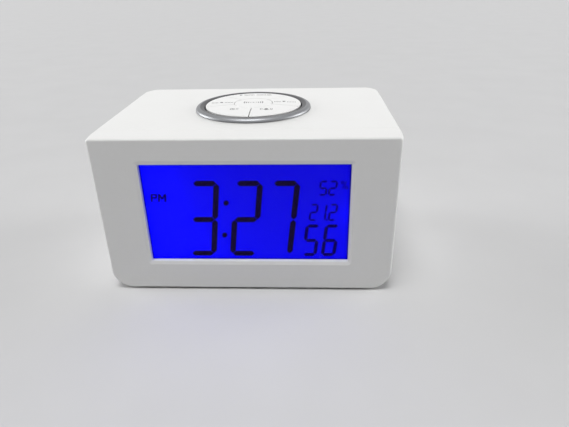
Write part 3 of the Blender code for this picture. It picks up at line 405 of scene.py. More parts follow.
# %% The clock's plastics, rubbers and metals
moulded("case_white", (0.83, 0.83, 0.82), 0.34, soil=0.02)
moulded("key_white", (0.86, 0.86, 0.855), 0.34, depth=0.01 * MM, soil=0.015)
for name, tone in (("mark_grey", (0.10, 0.10, 0.105)), ("mark_black", (0.03, 0.03, 0.032))):
    moulded(name, tone, 0.5, depth=0.005 * MM)
moulded("inner_white", (0.72, 0.73, 0.71), 0.48)
moulded("reflector_white", (0.90, 0.90, 0.91), 0.6, grain=2500.0)
moulded("epoxy_black", (0.018, 0.018, 0.019), 0.3, grain=2500.0)
moulded("foam_black", (0.03, 0.03, 0.03), 0.85, grain=2200.0, depth=0.08 * MM)
moulded("zebra_grey", (0.42, 0.40, 0.38), 0.7, grain=3000.0)
moulded("silicone_grey", (0.50, 0.52, 0.53), 0.6, **{"Subsurface Weight": 0.05})
moulded("foot_grey", (0.20, 0.20, 0.205), 0.8, grain=3000.0, depth=0.05 * MM)
moulded("cable_black", (0.03, 0.03, 0.03), 0.45, grain=3000.0)
moulded("cable_red", (0.5, 0.02, 0.02), 0.45, grain=3000.0)
moulded("cable_grey", (0.42, 0.42, 0.43), 0.5, grain=3000.0)
moulded("cone_paper", (0.035, 0.035, 0.035), 0.85, grain=1800.0, depth=0.1 * MM)
moulded("ferrite_grey", (0.07, 0.07, 0.075), 0.6, grain=2500.0, depth=0.05 * MM)
moulded("sleeve_dark", (0.045, 0.05, 0.075), 0.28, depth=0.01 * MM,
        **{"Coat Weight": 0.4, "Coat Roughness": 0.12})
metal("screw_nickel", (0.62, 0.62, 0.60), 0.28)
metal("contact_nickel", (0.66, 0.65, 0.62), 0.25)
metal("basket_zinc", (0.50, 0.51, 0.53), 0.35)
metal("can_aluminium", (0.68, 0.68, 0.70), 0.22)
print(len(bpy.data.materials), "materials")

# %% [markdown]
# The chrome ring is one plated piece, but its inner slope looks darker than its outer one. A
# darker base colour on the inner slope paints that shade in, so it shows under any light. The
# distance from the dial's centre tells the slopes apart, and a narrow band blends the tones at the
# crest.

# %% Chrome of the ring, with painted shade on the inner slope
SLOPES_MEET, SLOPES_BLEND = 26.5 * MM, 0.3 * MM
# The inner tone is painted shade; the outer tone is the chrome's own colour.
INNER_PAINTED_SHADE, OUTER_TONE = (0.08, 0.08, 0.085), (0.22, 0.225, 0.235)
tree, plating, from_centre = metal("ring_silver", OUTER_TONE, 0.38, (dial_x, dial_y))
# Zero on the inner slope, which takes the painted shade, and one on the outer slope.
outside_painted_shade = ((from_centre - SLOPES_MEET) / SLOPES_BLEND).clamped()
fill(tree, plating, {"Colour": outside_painted_shade.blend((*INNER_PAINTED_SHADE, 1), (*OUTER_TONE, 1))})
print("ring tones meet %.1f mm from the centre" % (SLOPES_MEET / MM))

# %% Circuit boards
new_material("board_green", {"Roughness": 0.35, "Coat Weight": 0.3}, tracks_group,
             depth=0.03 * MM)
print("board tracks wired")

# %% [markdown]
# The window is clear acrylic with a coating against reflections. A low index stands for the
# coating, which keeps the pale studio from veiling the blue. The display behind it glows on its
# own. Its segments are dark, but some of the blue behind them leaks through.

# %% Window, display and light guide
LENS_IOR, BACKLIGHT, LEAK_AT_DIM = 1.10, 1.35, 0.8
new_material("lens_clear", {"Transmission Weight": 1.0, "IOR": LENS_IOR}, moulded_group, {
    "Colour": (0.97, 0.98, 1.0, 1), "Soil Colour": (0.85, 0.86, 0.9, 1), "Soil": 0.05,
    "Roughness": 0.03, "Gloss Drift": 0.02})


def backlit(name, strength, colour, roughness, glow_values):
    """A dark, smooth surface with the backlight's glow in it."""
    tree, shader = new_material(
        name, {"Emission Strength": strength, "Specular IOR Level": 0.0}, moulded_group,
        {"Colour": colour, "Roughness": roughness, "Soil": 0.0})
    glow = add_node(tree, "Group", glow_values, node_tree=backlight_group)
    fill(tree, shader, {"Emission Color": glow.outputs["Glow"]})


backlit("display_blue", BACKLIGHT, (0.004, 0.004, 0.05, 1), 0.22,
        {"Left": -46.7 * MM, "Right": 46.0 * MM, "Low": 14.2 * MM, "High": 62.3 * MM})
for name, leak in (("segment_dark", (0.004, 0.001, 0.02)), ("segment_navy", (0.002, 0.0, 0.09)),
                   ("segment_faint", (0.002, 0.0, 0.17))):
    backlit(name, 1.0, (0.004, 0.003, 0.008, 1), 0.3,
            {"Dim Colour": (*(LEAK_AT_DIM * part for part in leak), 1),
             "Bright Colour": (*leak, 1)})
moulded("guide_clear", (0.6, 0.7, 0.95), 0.15, depth=0.005 * MM,
        **{"Transmission Weight": 0.6, "IOR": 1.49})
print("display lit at strength", BACKLIGHT)


# %% [markdown]
# ## Making shapes
# Moulded parts have even walls, small edge radii and drafted sides. The most direct way to such a
# skin is a loft: an outline is drawn at one depth after another, and neighbouring outlines are
# joined by strips of faces. Every outline has the same number of points, so the strips stay
# clean.

# %% Outlines and lofts
CORNER_STEPS = 12
SHARPEST = 0.15 * MM


def outline(y, half_width, low, high, low_radius, high_radius, x=0.0):
    """Points round an upright rectangle with rounded corners, anticlockwise."""
    low_radius, high_radius = max(low_radius, SHARPEST), max(high_radius, SHARPEST)
    corners = ((-1, low + low_radius, low_radius, 180), (1, low + low_radius, low_radius, 270),
               (1, high - high_radius, high_radius, 0), (-1, high - high_radius, high_radius, 90))
    points = []
    for side, centre, radius, start in corners:
        for step in range(CORNER_STEPS + 1):
            angle = math.radians(start + 90 * step / CORNER_STEPS)
            points.append((x + side * (half_width - radius) + radius * math.cos(angle), y,
                           centre + radius * math.sin(angle)))
    return points


def mesh_piece(name, shape):
    """A scene object from a bmesh, with its faces turned outwards."""
    bmesh.ops.recalc_face_normals(shape, faces=shape.faces)
    mesh = bpy.data.meshes.new(name)
    shape.to_mesh(mesh)
    shape.free()
    piece = bpy.data.objects.new(name, mesh)
    scene.collection.objects.link(piece)
    return piece


def join(shape, first, second, closed=True):
    """A strip of faces between two rows of corners. A row may be a single corner."""
    count = max(len(first), len(second))
    for index in range(count if closed else count - 1):
        after = (index + 1) % count
        corners = (first[index % len(first)], first[after % len(first)],
                   second[after % len(second)], second[index % len(second)])
        shape.faces.new(list(dict.fromkeys(corners)))


def loft(name, loops, ring=False):
    """Joins loops of points by strips of faces, and closes both ends or joins them up."""
    shape = bmesh.new()
    rims = [[shape.verts.new(point) for point in loop] for loop in loops]
    if ring:
        rims.append(rims[0])
    for rim in () if ring or len(rims[0]) == 1 else (rims[0], rims[-1]):
        shape.faces.new(rim)
    for first, second in zip(rims, rims[1:]):
        join(shape, first, second)
    return mesh_piece(name, shape)


print("an outline has", 4 * (CORNER_STEPS + 1), "points")


# %% [markdown]
# Round parts, holes, wells and bosses are spun from a profile, and a Boolean modifier cuts or
# adds them. A cut leaves many-sided flat faces, so the last helper marks real edges as sharp and
# weights the shading by face size, which keeps flats flat and curves smooth.

# %% Spinning, cutting and finishing
AXES = {"X": Vector((1, 0, 0)), "Y": Vector((0, 1, 0)), "Z": Vector((0, 0, 1))}
WELD = 0.0001 * MM
SPARE = 1.0 * MM
# How many sides round things have
HOLE_SIDES, STEM_SIDES, SHAFT_SIDES, ROUND_SIDES, WELL_SIDES = 20, 24, 28, 32, 40
POCKET_SIDES, FOOT_SIDES, DIAL_SIDES, RING_SIDES = 48, 56, 96, 180
SHARP_ANGLE, RING_SHARP_ANGLE = 32.0, 40.0


def spin(name, profile, place=(0.0, 0.0, 0.0), axis="Z", steps=ROUND_SIDES):
    """Turns (radius, height) points round an axis; radius 0 closes an end."""
    turn = AXES["Z"].rotation_difference(AXES[axis]).to_matrix()
    loops = []
    for radius, height in profile:
        angles = [2 * math.pi * step / steps for step in range(steps if radius > 0 else 1)]
        loops.append([Vector(place) + turn @ Vector(
            (radius * math.cos(a), radius * math.sin(a), height)) for a in angles])
    return loft(name, loops, ring=profile[0][0] > 0)


def arc_points(centre, reach, rise, start, end, steps):
    """Points on part of an ellipse, as (radius, height)."""
    angles = [math.radians(start + (end - start) * step / steps) for step in range(steps + 1)]
    return [(centre[0] + reach * math.cos(a), centre[1] + rise * math.sin(a)) for a in angles]


def rod(radius, start, end, axis, place, steps=ROUND_SIDES, mouth=0.0):
    """A cylinder along an axis; its mouth flares where it leaves the wall, SPARE from its end."""
    profile = [(0.0, start), (radius, start), (radius, end)]
    if mouth > 0.0:
        profile[2:] = [(radius, end - SPARE - mouth), (radius + mouth, end - SPARE),
                       (radius + mouth, end)]
    return spin("tool", profile + [(0.0, end)], place, axis, steps)


def rods_at(nodes, axis, *sizes):
    """One rod through the middle of each node's box."""
    rods = []
    for node in nodes:
        low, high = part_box(node)
        place = (low + high) / 2
        place["XYZ".index(axis)] = 0.0
        rods.append(rod(*sizes[:3], axis, place, *sizes[3:]))
    return rods


def block(name, low, high):
    shape = bmesh.new()
    middle = (Vector(low) + Vector(high)) / 2
    size = Vector(high) - Vector(low)
    bmesh.ops.create_cube(shape, size=1.0,
                          matrix=Matrix.Translation(middle) @ Matrix.Diagonal((*size, 1.0)))
    return mesh_piece(name, shape)


def together(tools):
    """Several tools that don't touch, as one."""
    shape = bmesh.new()
    for tool in tools:
        shape.from_mesh(tool.data)
        bpy.data.objects.remove(tool)
    return mesh_piece("tools", shape)


def combine(piece, operation, *tools):
    for tool in tools:
        modifier = piece.modifiers.new(operation.lower(), "BOOLEAN")
        modifier.operation = operation
        modifier.solver = "EXACT"
        modifier.object = tool


def soften(piece, width, segments=2, angle=40.0):
    """Rounds every edge that turns by more than the angle."""
    bevel = piece.modifiers.new("soft edges", "BEVEL")
    bevel.width = width
    bevel.segments = segments
    bevel.limit_method = "ANGLE"
    bevel.angle_limit = math.radians(angle)


def settle(piece, material, body="case", replaces=(), sharp=SHARP_ANGLE):
    """Applies the modifiers, evens the shading, and hangs the finished piece on its body.

    A boolean can leave two corners at one place. Those as near as WELD become one, and
    what has no face left after that goes.
    """
    bpy.context.view_layer.update()
    tools = {m.object for m in piece.modifiers if m.type == "BOOLEAN"}
    view = bpy.context.evaluated_depsgraph_get()
    mesh = bpy.data.meshes.new_from_object(piece.evaluated_get(view))
    piece.modifiers.clear()
    piece.data = mesh
    for tool in tools:
        bpy.data.objects.remove(tool)
    if tools:
        welded = bmesh.new()
        welded.from_mesh(mesh)
        bmesh.ops.remove_doubles(welded, verts=welded.verts, dist=WELD)
        loose = [corner for corner in welded.verts if not corner.link_faces]
        bmesh.ops.delete(welded, geom=loose, context="VERTS")
        welded.to_mesh(mesh)
    mesh.polygons.foreach_set("use_smooth", [True] * len(mesh.polygons))
    mesh.set_sharp_from_angle(angle=math.radians(sharp))
    weighted = piece.modifiers.new("even shading", "WEIGHTED_NORMAL")
    weighted.keep_sharp = True
    mesh.materials.clear()
    mesh.materials.append(bpy.data.materials[material])
    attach(piece, body)
    if replaces:
        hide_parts(*replaces)
    print(piece.name, len(mesh.polygons), "faces")


# %% [markdown]
# ## The front bezel
# The bezel is one moulding: thin walls, sides that curve in towards the display, and a window
# with a sloping rim. Its lower corners are large and its upper ones nearly square. It is a ring
# of lofted outlines, which start at the seam, run forward over the skin, pass through the window
# and come back along the inside. A thin tongue reaches into the rear case, so that no gap shows
# light. Pillars for the screws are added to the inside.

# %% Sizes of the case
WALL, GAP, OVERLAP = 2.2 * MM, 0.3 * MM, 0.4 * MM
BASE_CORNER, TOP_CORNER = 9.5 * MM, 1.4 * MM
SEAM_GAP, SEAM_CHAMFER = 0.10 * MM, 0.07 * MM
rear_low, rear_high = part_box("rear_case")
case_half = rear_high.x
base_z, top_z = rear_low.z, rear_high.z
front_y, back_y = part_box("front_bezel")[0].y, rear_high.y
print("case %.1f x %.1f x %.1f mm" % tuple(
    size / MM for size in (2 * case_half, back_y - front_y, top_z - base_z)))

# %% Skin of the bezel
BEZEL_TAPER, TAPER_CURVE = 1.3 * MM, 3
FRONT_FILLET = 1.0 * MM
FILLET_STEPS, SIDE_STEPS = 6, 6
TONGUE_OUTER, TONGUE_INNER = WALL + 0.15 * MM, WALL + 0.95 * MM
TONGUE_REACH = 1.6 * MM
middle_of_gap = rear_low.y - GAP / 2
seam_y = middle_of_gap - SEAM_GAP / 2


def bezel_outline(y, inset):
    """The bezel's outline at depth y, its sides curving in towards the front."""
    share = max(0.0, (middle_of_gap - y) / (middle_of_gap - front_y))
    narrowing = BEZEL_TAPER * share ** TAPER_CURVE
    return outline(y, case_half - narrowing - inset, base_z + inset, top_z - inset,
                   BASE_CORNER - inset, TOP_CORNER - inset)


side_start_y = seam_y - SEAM_CHAMFER
side_length = side_start_y - front_y - FRONT_FILLET
stations = [(seam_y - TONGUE_REACH, TONGUE_INNER), (seam_y + TONGUE_REACH, TONGUE_INNER),
            (seam_y + TONGUE_REACH, TONGUE_OUTER), (seam_y, TONGUE_OUTER), (seam_y, SEAM_CHAMFER),
            (side_start_y, 0.0)]
stations += [(side_start_y - side_length * step / SIDE_STEPS, 0.0)
             for step in range(1, SIDE_STEPS)]
for step in range(FILLET_STEPS + 1):
    angle = math.radians(90 * step / FILLET_STEPS)
    stations.append((front_y + FRONT_FILLET * (1 - math.sin(angle)),
                     FRONT_FILLET * (1 - math.cos(angle))))
bezel_loops = [bezel_outline(y, inset) for y, inset in stations]
print(len(bezel_loops), "outlines to the front face")

# %% [markdown]
# The window's rim slopes inwards at a shallow angle, a little wider above and below than at the
# sides. Inside it a short straight wall leads to the lens. That wall catches the display's light,
# which draws a pale blue line round the glass.

# %% Window rim
OPENING_HALF = 45.95 * MM
OPENING_LOW, OPENING_HIGH = 15.75 * MM, 63.65 * MM
RIM_SIDE, RIM_HEIGHT, RIM_DEPTH = 1.7 * MM, 2.0 * MM, 0.6 * MM
RIM_CORNER, OPENING_CORNER = 1.9 * MM, 0.45 * MM
# How far across the rim, and how deep there
RIM_STEPS = ((0.0, 0.0), (0.05, 0.02), (0.12, 0.07), (0.2, 0.15), (0.9, 0.86), (0.96, 0.95),
             (1.0, 1.15), (1.0, WALL / RIM_DEPTH))
for share, depth in RIM_STEPS:
    left = 1.0 - share
    corner = OPENING_CORNER + (RIM_CORNER - OPENING_CORNER) * left
    bezel_loops.append(outline(
        front_y + depth * RIM_DEPTH, OPENING_HALF + RIM_SIDE * left,
        OPENING_LOW - RIM_HEIGHT * left, OPENING_HIGH + RIM_HEIGHT * left, corner, corner))
bezel_loops += [bezel_outline(front_y + WALL, WALL),
                bezel_outline(seam_y - 2 * TONGUE_REACH, WALL)]
bezel = loft("bezel_shell", bezel_loops, ring=True)
print("opening %.1f mm high" % ((OPENING_HIGH - OPENING_LOW) / MM))

# %% Pillars for the screws
CASE_SCREWS = ["case_screw_low_left", "case_screw_low_right", "case_screw_high_left",
               "case_screw_high_right"]
BOARD_SCREWS = [name.replace("case", "board") for name in CASE_SCREWS]
CASE_PILLAR, CASE_PILOT = 3.6 * MM, 1.6 * MM
BOARD_PILLAR, BOARD_PILOT = 2.4 * MM, 1.3 * MM
wall_inside = front_y + WALL - OVERLAP
pillar_end_y = rear_low.y - GAP
board_front_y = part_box("main_board")[0].y
pillars, pilots = [], []
for screws, pillar, pilot, pillar_end, pilot_end in (
        (CASE_SCREWS, CASE_PILLAR, CASE_PILOT, pillar_end_y, pillar_end_y),
        (BOARD_SCREWS, BOARD_PILLAR, BOARD_PILOT, board_front_y - GAP, board_front_y)):
    tip_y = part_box(screws[0])[0].y
    pillars += rods_at(screws, "Y", pillar, wall_inside, pillar_end)
    pilots += rods_at(screws, "Y", pilot, tip_y - SPARE, pilot_end + SPARE, HOLE_SIDES)
combine(bezel, "UNION", together(pillars))
combine(bezel, "DIFFERENCE", together(pilots))
settle(bezel, "case_white", replaces=["front_bezel"])

# %% [markdown]
# ## The rear case
# The rear is a deep box with the same outline from the front, two upright corners that round off
# in plan, and softened edges at the back. Where the corners turn, the lofted outline narrows
# along an arc. A second, smaller loft makes the hollow.

# %% Skin and hollow of the rear case
REAR_CORNER, REAR_EDGE = 9.0 * MM, 1.2 * MM
TURN_ANGLES = (0, 10, 20, 30, 40, 50, 58, 65, 70, 75, 79, 83, 86.5, 90)


def rear_outline(y, inset, rim=0.0):
    """The rear case's outline at depth y, for its skin or, one wall in, its hollow."""
    corner = REAR_CORNER - inset
    edge = max(REAR_EDGE - inset, 0.0)
    round_corner = max(0.0, y - (back_y - inset - corner))
    round_edge = min(max(0.0, y - (back_y - inset - edge)), edge)
    side = corner - math.sqrt(max(corner ** 2 - round_corner ** 2, 0.0))
    fall = edge - math.sqrt(edge ** 2 - round_edge ** 2)
    return outline(y, case_half - inset - side - rim, base_z + inset + fall + rim,
                   top_z - inset - fall - rim, BASE_CORNER - inset, TOP_CORNER - inset)


def rear_block(name, inset, first):
    corner = REAR_CORNER - inset
    turn_y = back_y - inset - corner
    return loft(name, first + [
        rear_outline(turn_y + corner * math.sin(math.radians(angle)), inset)
        for angle in TURN_ANGLES])


seam_rear_y = seam_y + SEAM_GAP
rear = rear_block("rear_shell", 0.0, [rear_outline(seam_rear_y, 0.0, SEAM_CHAMFER),
                                      rear_outline(seam_rear_y + SEAM_CHAMFER, 0.0)])
combine(rear, "DIFFERENCE", rear_block("hollow", WALL, [rear_outline(seam_rear_y - SPARE, WALL)]))
inner_back_y = back_y - WALL
print("wall %.1f mm" % (WALL / MM))

# %% [markdown]
# Inside, the case carries what holds the other pieces: four columns for the screws, three pillars
# under the top for the key board, a ring for the speaker, and two ribs for the little sensor
# board.

# %% Columns, pillars, ring and ribs
COLUMN = 4.2 * MM
SPEAKER_RING_WALL, SPEAKER_RING_HEIGHT, RIB = 1.4 * MM, 4.0 * MM, 1.4 * MM
KEY_SCREWS = ["key_board_screw_1", "key_board_screw_2", "key_board_screw_3"]
key_board_top_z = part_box("key_board")[1].z
basket_low, basket_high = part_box("speaker_basket")
speaker_x, speaker_z = (basket_low.x + basket_high.x) / 2, (basket_low.z + basket_high.z) / 2
sensor_low, sensor_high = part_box("sensor_board")

additions = rods_at(CASE_SCREWS, "Y", COLUMN, rear_low.y, inner_back_y + OVERLAP)
additions += rods_at(KEY_SCREWS, "Z", BOARD_PILLAR, key_board_top_z + GAP, top_z - WALL + OVERLAP)
inner = (basket_high.x - basket_low.x) / 2 + GAP
outer = inner + SPEAKER_RING_WALL
additions.append(spin("ring", [(inner, OVERLAP), (outer, OVERLAP), (outer, -SPEAKER_RING_HEIGHT),
                               (inner, -SPEAKER_RING_HEIGHT)],
                      (speaker_x, inner_back_y, speaker_z), "Y", POCKET_SIDES))
for side_x in (sensor_low.x, sensor_high.x - RIB):
    additions.append(block("rib", (side_x, sensor_high.y + GAP, sensor_low.z),
                           (side_x + RIB, inner_back_y + OVERLAP, sensor_high.z)))
print(len(additions), "columns, pillars, rings and ribs")
combine(rear, "UNION", together(additions))

# %% [markdown]
# The openings come last: screw wells, the speaker's grille in rings of six, twelve and eighteen
# holes, four vents for the sensor, pockets for the feet, the round hole for the dial and the slot
# of the battery door. The tools for the grille and the wells have a flared mouth, so every hole
# gets the small chamfer of a real moulding.

# %% Openings of the rear case
WELL, SHAFT, HEAD_SEAT, WELL_MOUTH = 3.0 * MM, 1.6 * MM, 2.5 * MM, 0.25 * MM
GRILLE_HOLE, GRILLE_PITCH, GRILLE_RINGS, GRILLE_MOUTH = 1.1 * MM, 4.0 * MM, 3, 0.2 * MM
VENT_LENGTH, VENT_WIDTH, VENT_PITCH, VENT_COUNT = 12.0 * MM, 1.4 * MM, 3.0 * MM, 4
VENT_ROUND = 0.49
FOOT_POCKET, FOOT_POCKET_DEPTH = 4.8 * MM, 0.9 * MM
DIAL_HOLE = 25.6 * MM
BAY_HALF, LIP, FLOOR = 25.25 * MM, 1.0 * MM, 2.2 * MM
FEET = ["foot_front_left", "foot_front_right", "foot_rear_left", "foot_rear_right"]
seat_y = rear_low.y + HEAD_SEAT
cut_from, cut_to = inner_back_y - SPARE / 2, back_y + SPARE

openings = rods_at(CASE_SCREWS, "Y", WELL, seat_y, cut_to, WELL_SIDES, WELL_MOUTH)
shafts = rods_at(CASE_SCREWS, "Y", SHAFT, rear_low.y - SPARE, seat_y + SPARE, SHAFT_SIDES)
openings += rods_at(KEY_SCREWS, "Z", BOARD_PILOT, key_board_top_z - SPARE,
                    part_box(KEY_SCREWS[0])[1].z + SPARE, SHAFT_SIDES)
for ring in range(GRILLE_RINGS + 1):
    count = max(1, 6 * ring)
    for index in range(count):
        angle = 2 * math.pi * index / count
        spot = (speaker_x + ring * GRILLE_PITCH * math.cos(angle), 0.0,
                speaker_z + ring * GRILLE_PITCH * math.sin(angle))
        openings.append(rod(GRILLE_HOLE, cut_from, cut_to, "Y", spot, HOLE_SIDES, GRILLE_MOUTH))
vent_x, vent_z = (sensor_low.x + sensor_high.x) / 2, (sensor_low.z + sensor_high.z) / 2
vent_round = VENT_ROUND * VENT_WIDTH
for index in range(VENT_COUNT):
    z = vent_z + VENT_PITCH * (index - (VENT_COUNT - 1) / 2)
    openings.append(loft("vent", [outline(
        y, VENT_LENGTH / 2, z - VENT_WIDTH / 2, z + VENT_WIDTH / 2, vent_round, vent_round, vent_x)
        for y in (cut_from, cut_to)]))
openings += rods_at(FEET, "Z", FOOT_POCKET, base_z - SPARE, base_z + FOOT_POCKET_DEPTH,
                    POCKET_SIDES)
openings.append(rod(DIAL_HOLE, top_z - WALL - SPARE, top_z + SPARE, "Z", (dial_x, dial_y, 0),
                    DIAL_SIDES))

door_low, door_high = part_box("battery_door")
slot_start, floor_z = door_low.y - GAP, base_z + FLOOR
slot = block("slot", (-BAY_HALF, slot_start, base_z - SPARE),
             (BAY_HALF, cut_to, floor_z + SPARE / 2))
groove = block("groove", (door_low.x - GAP, slot_start, base_z + LIP),
               (door_high.x + GAP, cut_to, floor_z + SPARE / 4))
combine(rear, "DIFFERENCE", together(openings), together(shafts), slot, groove)
settle(rear, "case_white", replaces=["rear_case"])

# %% [markdown]
# ## Feet and battery door
# The feet are low rubber pads, with a rounded edge where they meet the table. The battery door is
# a plate with a thinner tongue along each side that runs under the lips of the base, and a row of
# finger grooves. A Bevel modifier softens its edges.

# %% Feet
FOOT_EDGE = 0.35 * MM
for name in FEET:
    low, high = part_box(name)
    radius, height = (high.x - low.x) / 2, high.z - low.z
    edge = arc_points((radius - FOOT_EDGE, FOOT_EDGE), FOOT_EDGE, FOOT_EDGE, 270, 360, 5)
    foot = spin("pad_" + name, [(0.0, 0.0)] + edge + [(radius, height), (0.0, height)],
                ((low.x + high.x) / 2, (low.y + high.y) / 2, low.z), "Z", FOOT_SIDES)
    settle(foot, "foot_grey", replaces=[name])

# %% Battery door
DOOR_HALF, TONGUE_THICKNESS = 24.95 * MM, 0.6 * MM
GRIP_COUNT, GRIP_PITCH, GRIP_RADIUS, GRIP_DEPTH = 5, 2.2 * MM, 0.7 * MM, 0.5 * MM
GRIP_HALF_LENGTH, GRIP_INSET = 10.0 * MM, 10.0 * MM
ARROW_WIDTH, ARROW_LENGTH = 5.0 * MM, 4.0 * MM
ARROW_DEPTH, ARROW_INSET, DOOR_SOFTNESS = 0.25 * MM, 27.0 * MM, 0.12 * MM

door = block("door_panel", (-DOOR_HALF, door_low.y, door_low.z), (DOOR_HALF, *door_high.yz))
tongues = block("tongues", (*door_low.xy, door_high.z - TONGUE_THICKNESS), door_high)
combine(door, "UNION", tongues)
grips = [rod(GRIP_RADIUS, -GRIP_HALF_LENGTH, GRIP_HALF_LENGTH, "X",
             (0.0, door_high.y - GRIP_INSET - index * GRIP_PITCH,
              door_low.z + GRIP_DEPTH - GRIP_RADIUS), STEM_SIDES) for index in range(GRIP_COUNT)]
arrow_y = door_high.y - ARROW_INSET
arrow = loft("arrow", [[(-ARROW_WIDTH / 2, arrow_y, z), (ARROW_WIDTH / 2, arrow_y, z),
                        (0.0, arrow_y + ARROW_LENGTH, z)]
                       for z in (door_low.z - SPARE, door_low.z + ARROW_DEPTH)])
combine(door, "DIFFERENCE", together(grips + [arrow]))
soften(door, DOOR_SOFTNESS)
settle(door, "case_white", "battery_door", ["battery_door"])

# %% [markdown]
# ## The ring round the keys
# The chrome ring is a low roof: a slope inside, a crest, and a steeper slope outside, over a
# skirt that drops into the case. It is spun in many steps, because a mirror-like surface shows
# every facet.

# %% Dial ring
RING_INNER, RING_CREST, RING_OUTER = 24.3 * MM, 26.8 * MM, 28.9 * MM
RING_INNER_TOP, RING_TOP, SKIRT = 1.0 * MM, 2.0 * MM, 25.3 * MM
EDGE_DROPS, EDGE_WIDTH, SLOPE_INSET = (0.12 * MM, 0.02 * MM), 0.04 * MM, 0.1 * MM
skirt_end = dial_low.z - top_z
ring_profile = [(RING_INNER, RING_INNER_TOP - EDGE_DROPS[0]),
                (RING_INNER + EDGE_WIDTH, RING_INNER_TOP - EDGE_DROPS[1])]
ring_profile += arc_points((RING_CREST, RING_INNER_TOP), RING_CREST - RING_INNER - SLOPE_INSET,
                           RING_TOP - RING_INNER_TOP, 165, 96, 8)
ring_profile += arc_points((RING_CREST, GAP), RING_OUTER - RING_CREST, RING_TOP - GAP, 80, 0, 12)
ring_profile += [(SKIRT, GAP), (SKIRT, skirt_end), (RING_INNER, skirt_end)]
settle(spin("dial_rim", ring_profile, (dial_x, dial_y, top_z), "Z", RING_SIDES), "ring_silver",
       replaces=["dial_ring"], sharp=RING_SHARP_ANGLE)

# %% [markdown]
# ## The keys
# Six keys share one shallow dome. The middle one is round. The others are sectors, cut apart by
# fine grooves, the front one wider. A groove is as wide near the middle as at the rim, so it
# takes a wider angle there. Each key is a grid in polar steps with walls, a floor and a stem that
# reaches down through the guide to the mat.

# %% The dome that the keys share
GROOVE, FRONT_GROOVE, FRONT_ANGLE = 0.25 * MM, 0.42 * MM, 270
CENTRE_RADIUS = 9.5 * MM
DISC_RADIUS, SHOULDER_RADIUS = 23.9 * MM, 22.9 * MM
CROWN, SHOULDER, RIM = 2.5 * MM, 2.1 * MM, 1.7 * MM
PLATE_BOTTOM = -1.4 * MM
STEM_RADIUS, BARB_RADIUS, BARB_START, BARB_TOP = 2.0 * MM, 2.7 * MM, 0.7 * MM, 1.4 * MM
key_edges = {"key_rear": (45, 135), "key_left": (135, 195), "key_front_left": (195, 270),
             "key_front_right": (270, 345), "key_right": (345, 405)}
stem_places = {}


def dome_height(radius):
    """Height of the keys' dome above the top of the case."""
    if radius <= SHOULDER_RADIUS:
        return CROWN - (CROWN - SHOULDER) * (radius / SHOULDER_RADIUS) ** 2
    share = min((radius - SHOULDER_RADIUS) / (DISC_RADIUS - SHOULDER_RADIUS), 1.0)
    return RIM + (SHOULDER - RIM) * math.sqrt(1 - share * share)


def add_stem(cap, name, x, y):
    """Joins a stem to a key's cap, with the barb that holds it in its guide."""
    top, foot = PLATE_BOTTOM + OVERLAP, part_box(name)[0].z - top_z
    profile = [(0.0, top), (STEM_RADIUS, top), (STEM_RADIUS, foot + BARB_TOP),
               (BARB_RADIUS, foot + BARB_TOP), (BARB_RADIUS, foot + BARB_START),
               (STEM_RADIUS, foot), (0.0, foot)]
    combine(cap, "UNION", spin("stem", profile, (x, y, top_z), "Z", STEM_SIDES))
    stem_places[name] = (x, y)


print("crown %.1f mm above the case" % (CROWN / MM))

# %% Middle key
KEY_EDGE = 0.15 * MM
crown_points = [(CENTRE_RADIUS * share, dome_height(CENTRE_RADIUS * share))
                for share in (0.0, 0.2, 0.4, 0.6, 0.8)]
edge_top = dome_height(CENTRE_RADIUS) - KEY_EDGE
crown_points += arc_points((CENTRE_RADIUS - KEY_EDGE, edge_top), KEY_EDGE, KEY_EDGE, 90, 0, 5)
crown_points += [(CENTRE_RADIUS, PLATE_BOTTOM), (0.0, PLATE_BOTTOM)]
middle_key = spin("cap_key_centre", crown_points, (dial_x, dial_y, top_z), "Z", DIAL_SIDES)
add_stem(middle_key, "key_centre", dial_x, dial_y)
settle(middle_key, "key_white", "key_centre", ["key_centre"])

# %% Outer keys
SECTOR_STEP, KEY_ROWS, KEY_SOFTNESS = 2.5, 8, 0.14 * MM
SHOULDER_ANGLES = (15, 30, 45, 60, 75, 90)
stem_circle = (CENTRE_RADIUS + GROOVE + DISC_RADIUS) / 2
inner_radius = CENTRE_RADIUS + GROOVE
radii = [inner_radius + (SHOULDER_RADIUS - inner_radius) * step / KEY_ROWS
         for step in range(KEY_ROWS + 1)]
radii += [SHOULDER_RADIUS + (DISC_RADIUS - SHOULDER_RADIUS) * math.sin(math.radians(angle))
          for angle in SHOULDER_ANGLES]

for name, (start, end) in key_edges.items():
    columns = round((end - start) / SECTOR_STEP)
    shape = bmesh.new()
    top, bottom = [], []
    for radius in radii:
        trims = [math.degrees(math.asin((FRONT_GROOVE if side == FRONT_ANGLE else GROOVE)
                                        / 2 / radius)) for side in (start, end)]
        top.append([])
        bottom.append([])
        for column in range(columns + 1):
            angle = math.radians(start + trims[0]
                                 + (end - start - sum(trims)) * column / columns)
            x, y = dial_x + radius * math.cos(angle), dial_y + radius * math.sin(angle)
            top[-1].append(shape.verts.new((x, y, top_z + dome_height(radius))))
            bottom[-1].append(shape.verts.new((x, y, top_z + PLATE_BOTTOM)))
    for grid in (top, bottom):
        for near, far in zip(grid, grid[1:]):
            join(shape, near, far, closed=False)
    for end_row in (0, -1):
        join(shape, top[end_row], bottom[end_row], closed=False)
    for side in (0, -1):
        join(shape, [row[side] for row in top], [row[side] for row in bottom], closed=False)
    key = mesh_piece("cap_" + name, shape)
    middle = math.radians((start + end) / 2)
    add_stem(key, name, dial_x + stem_circle * math.cos(middle),
             dial_y + stem_circle * math.sin(middle))
    soften(key, KEY_SOFTNESS, 3)
    settle(key, "key_white", name, [name])
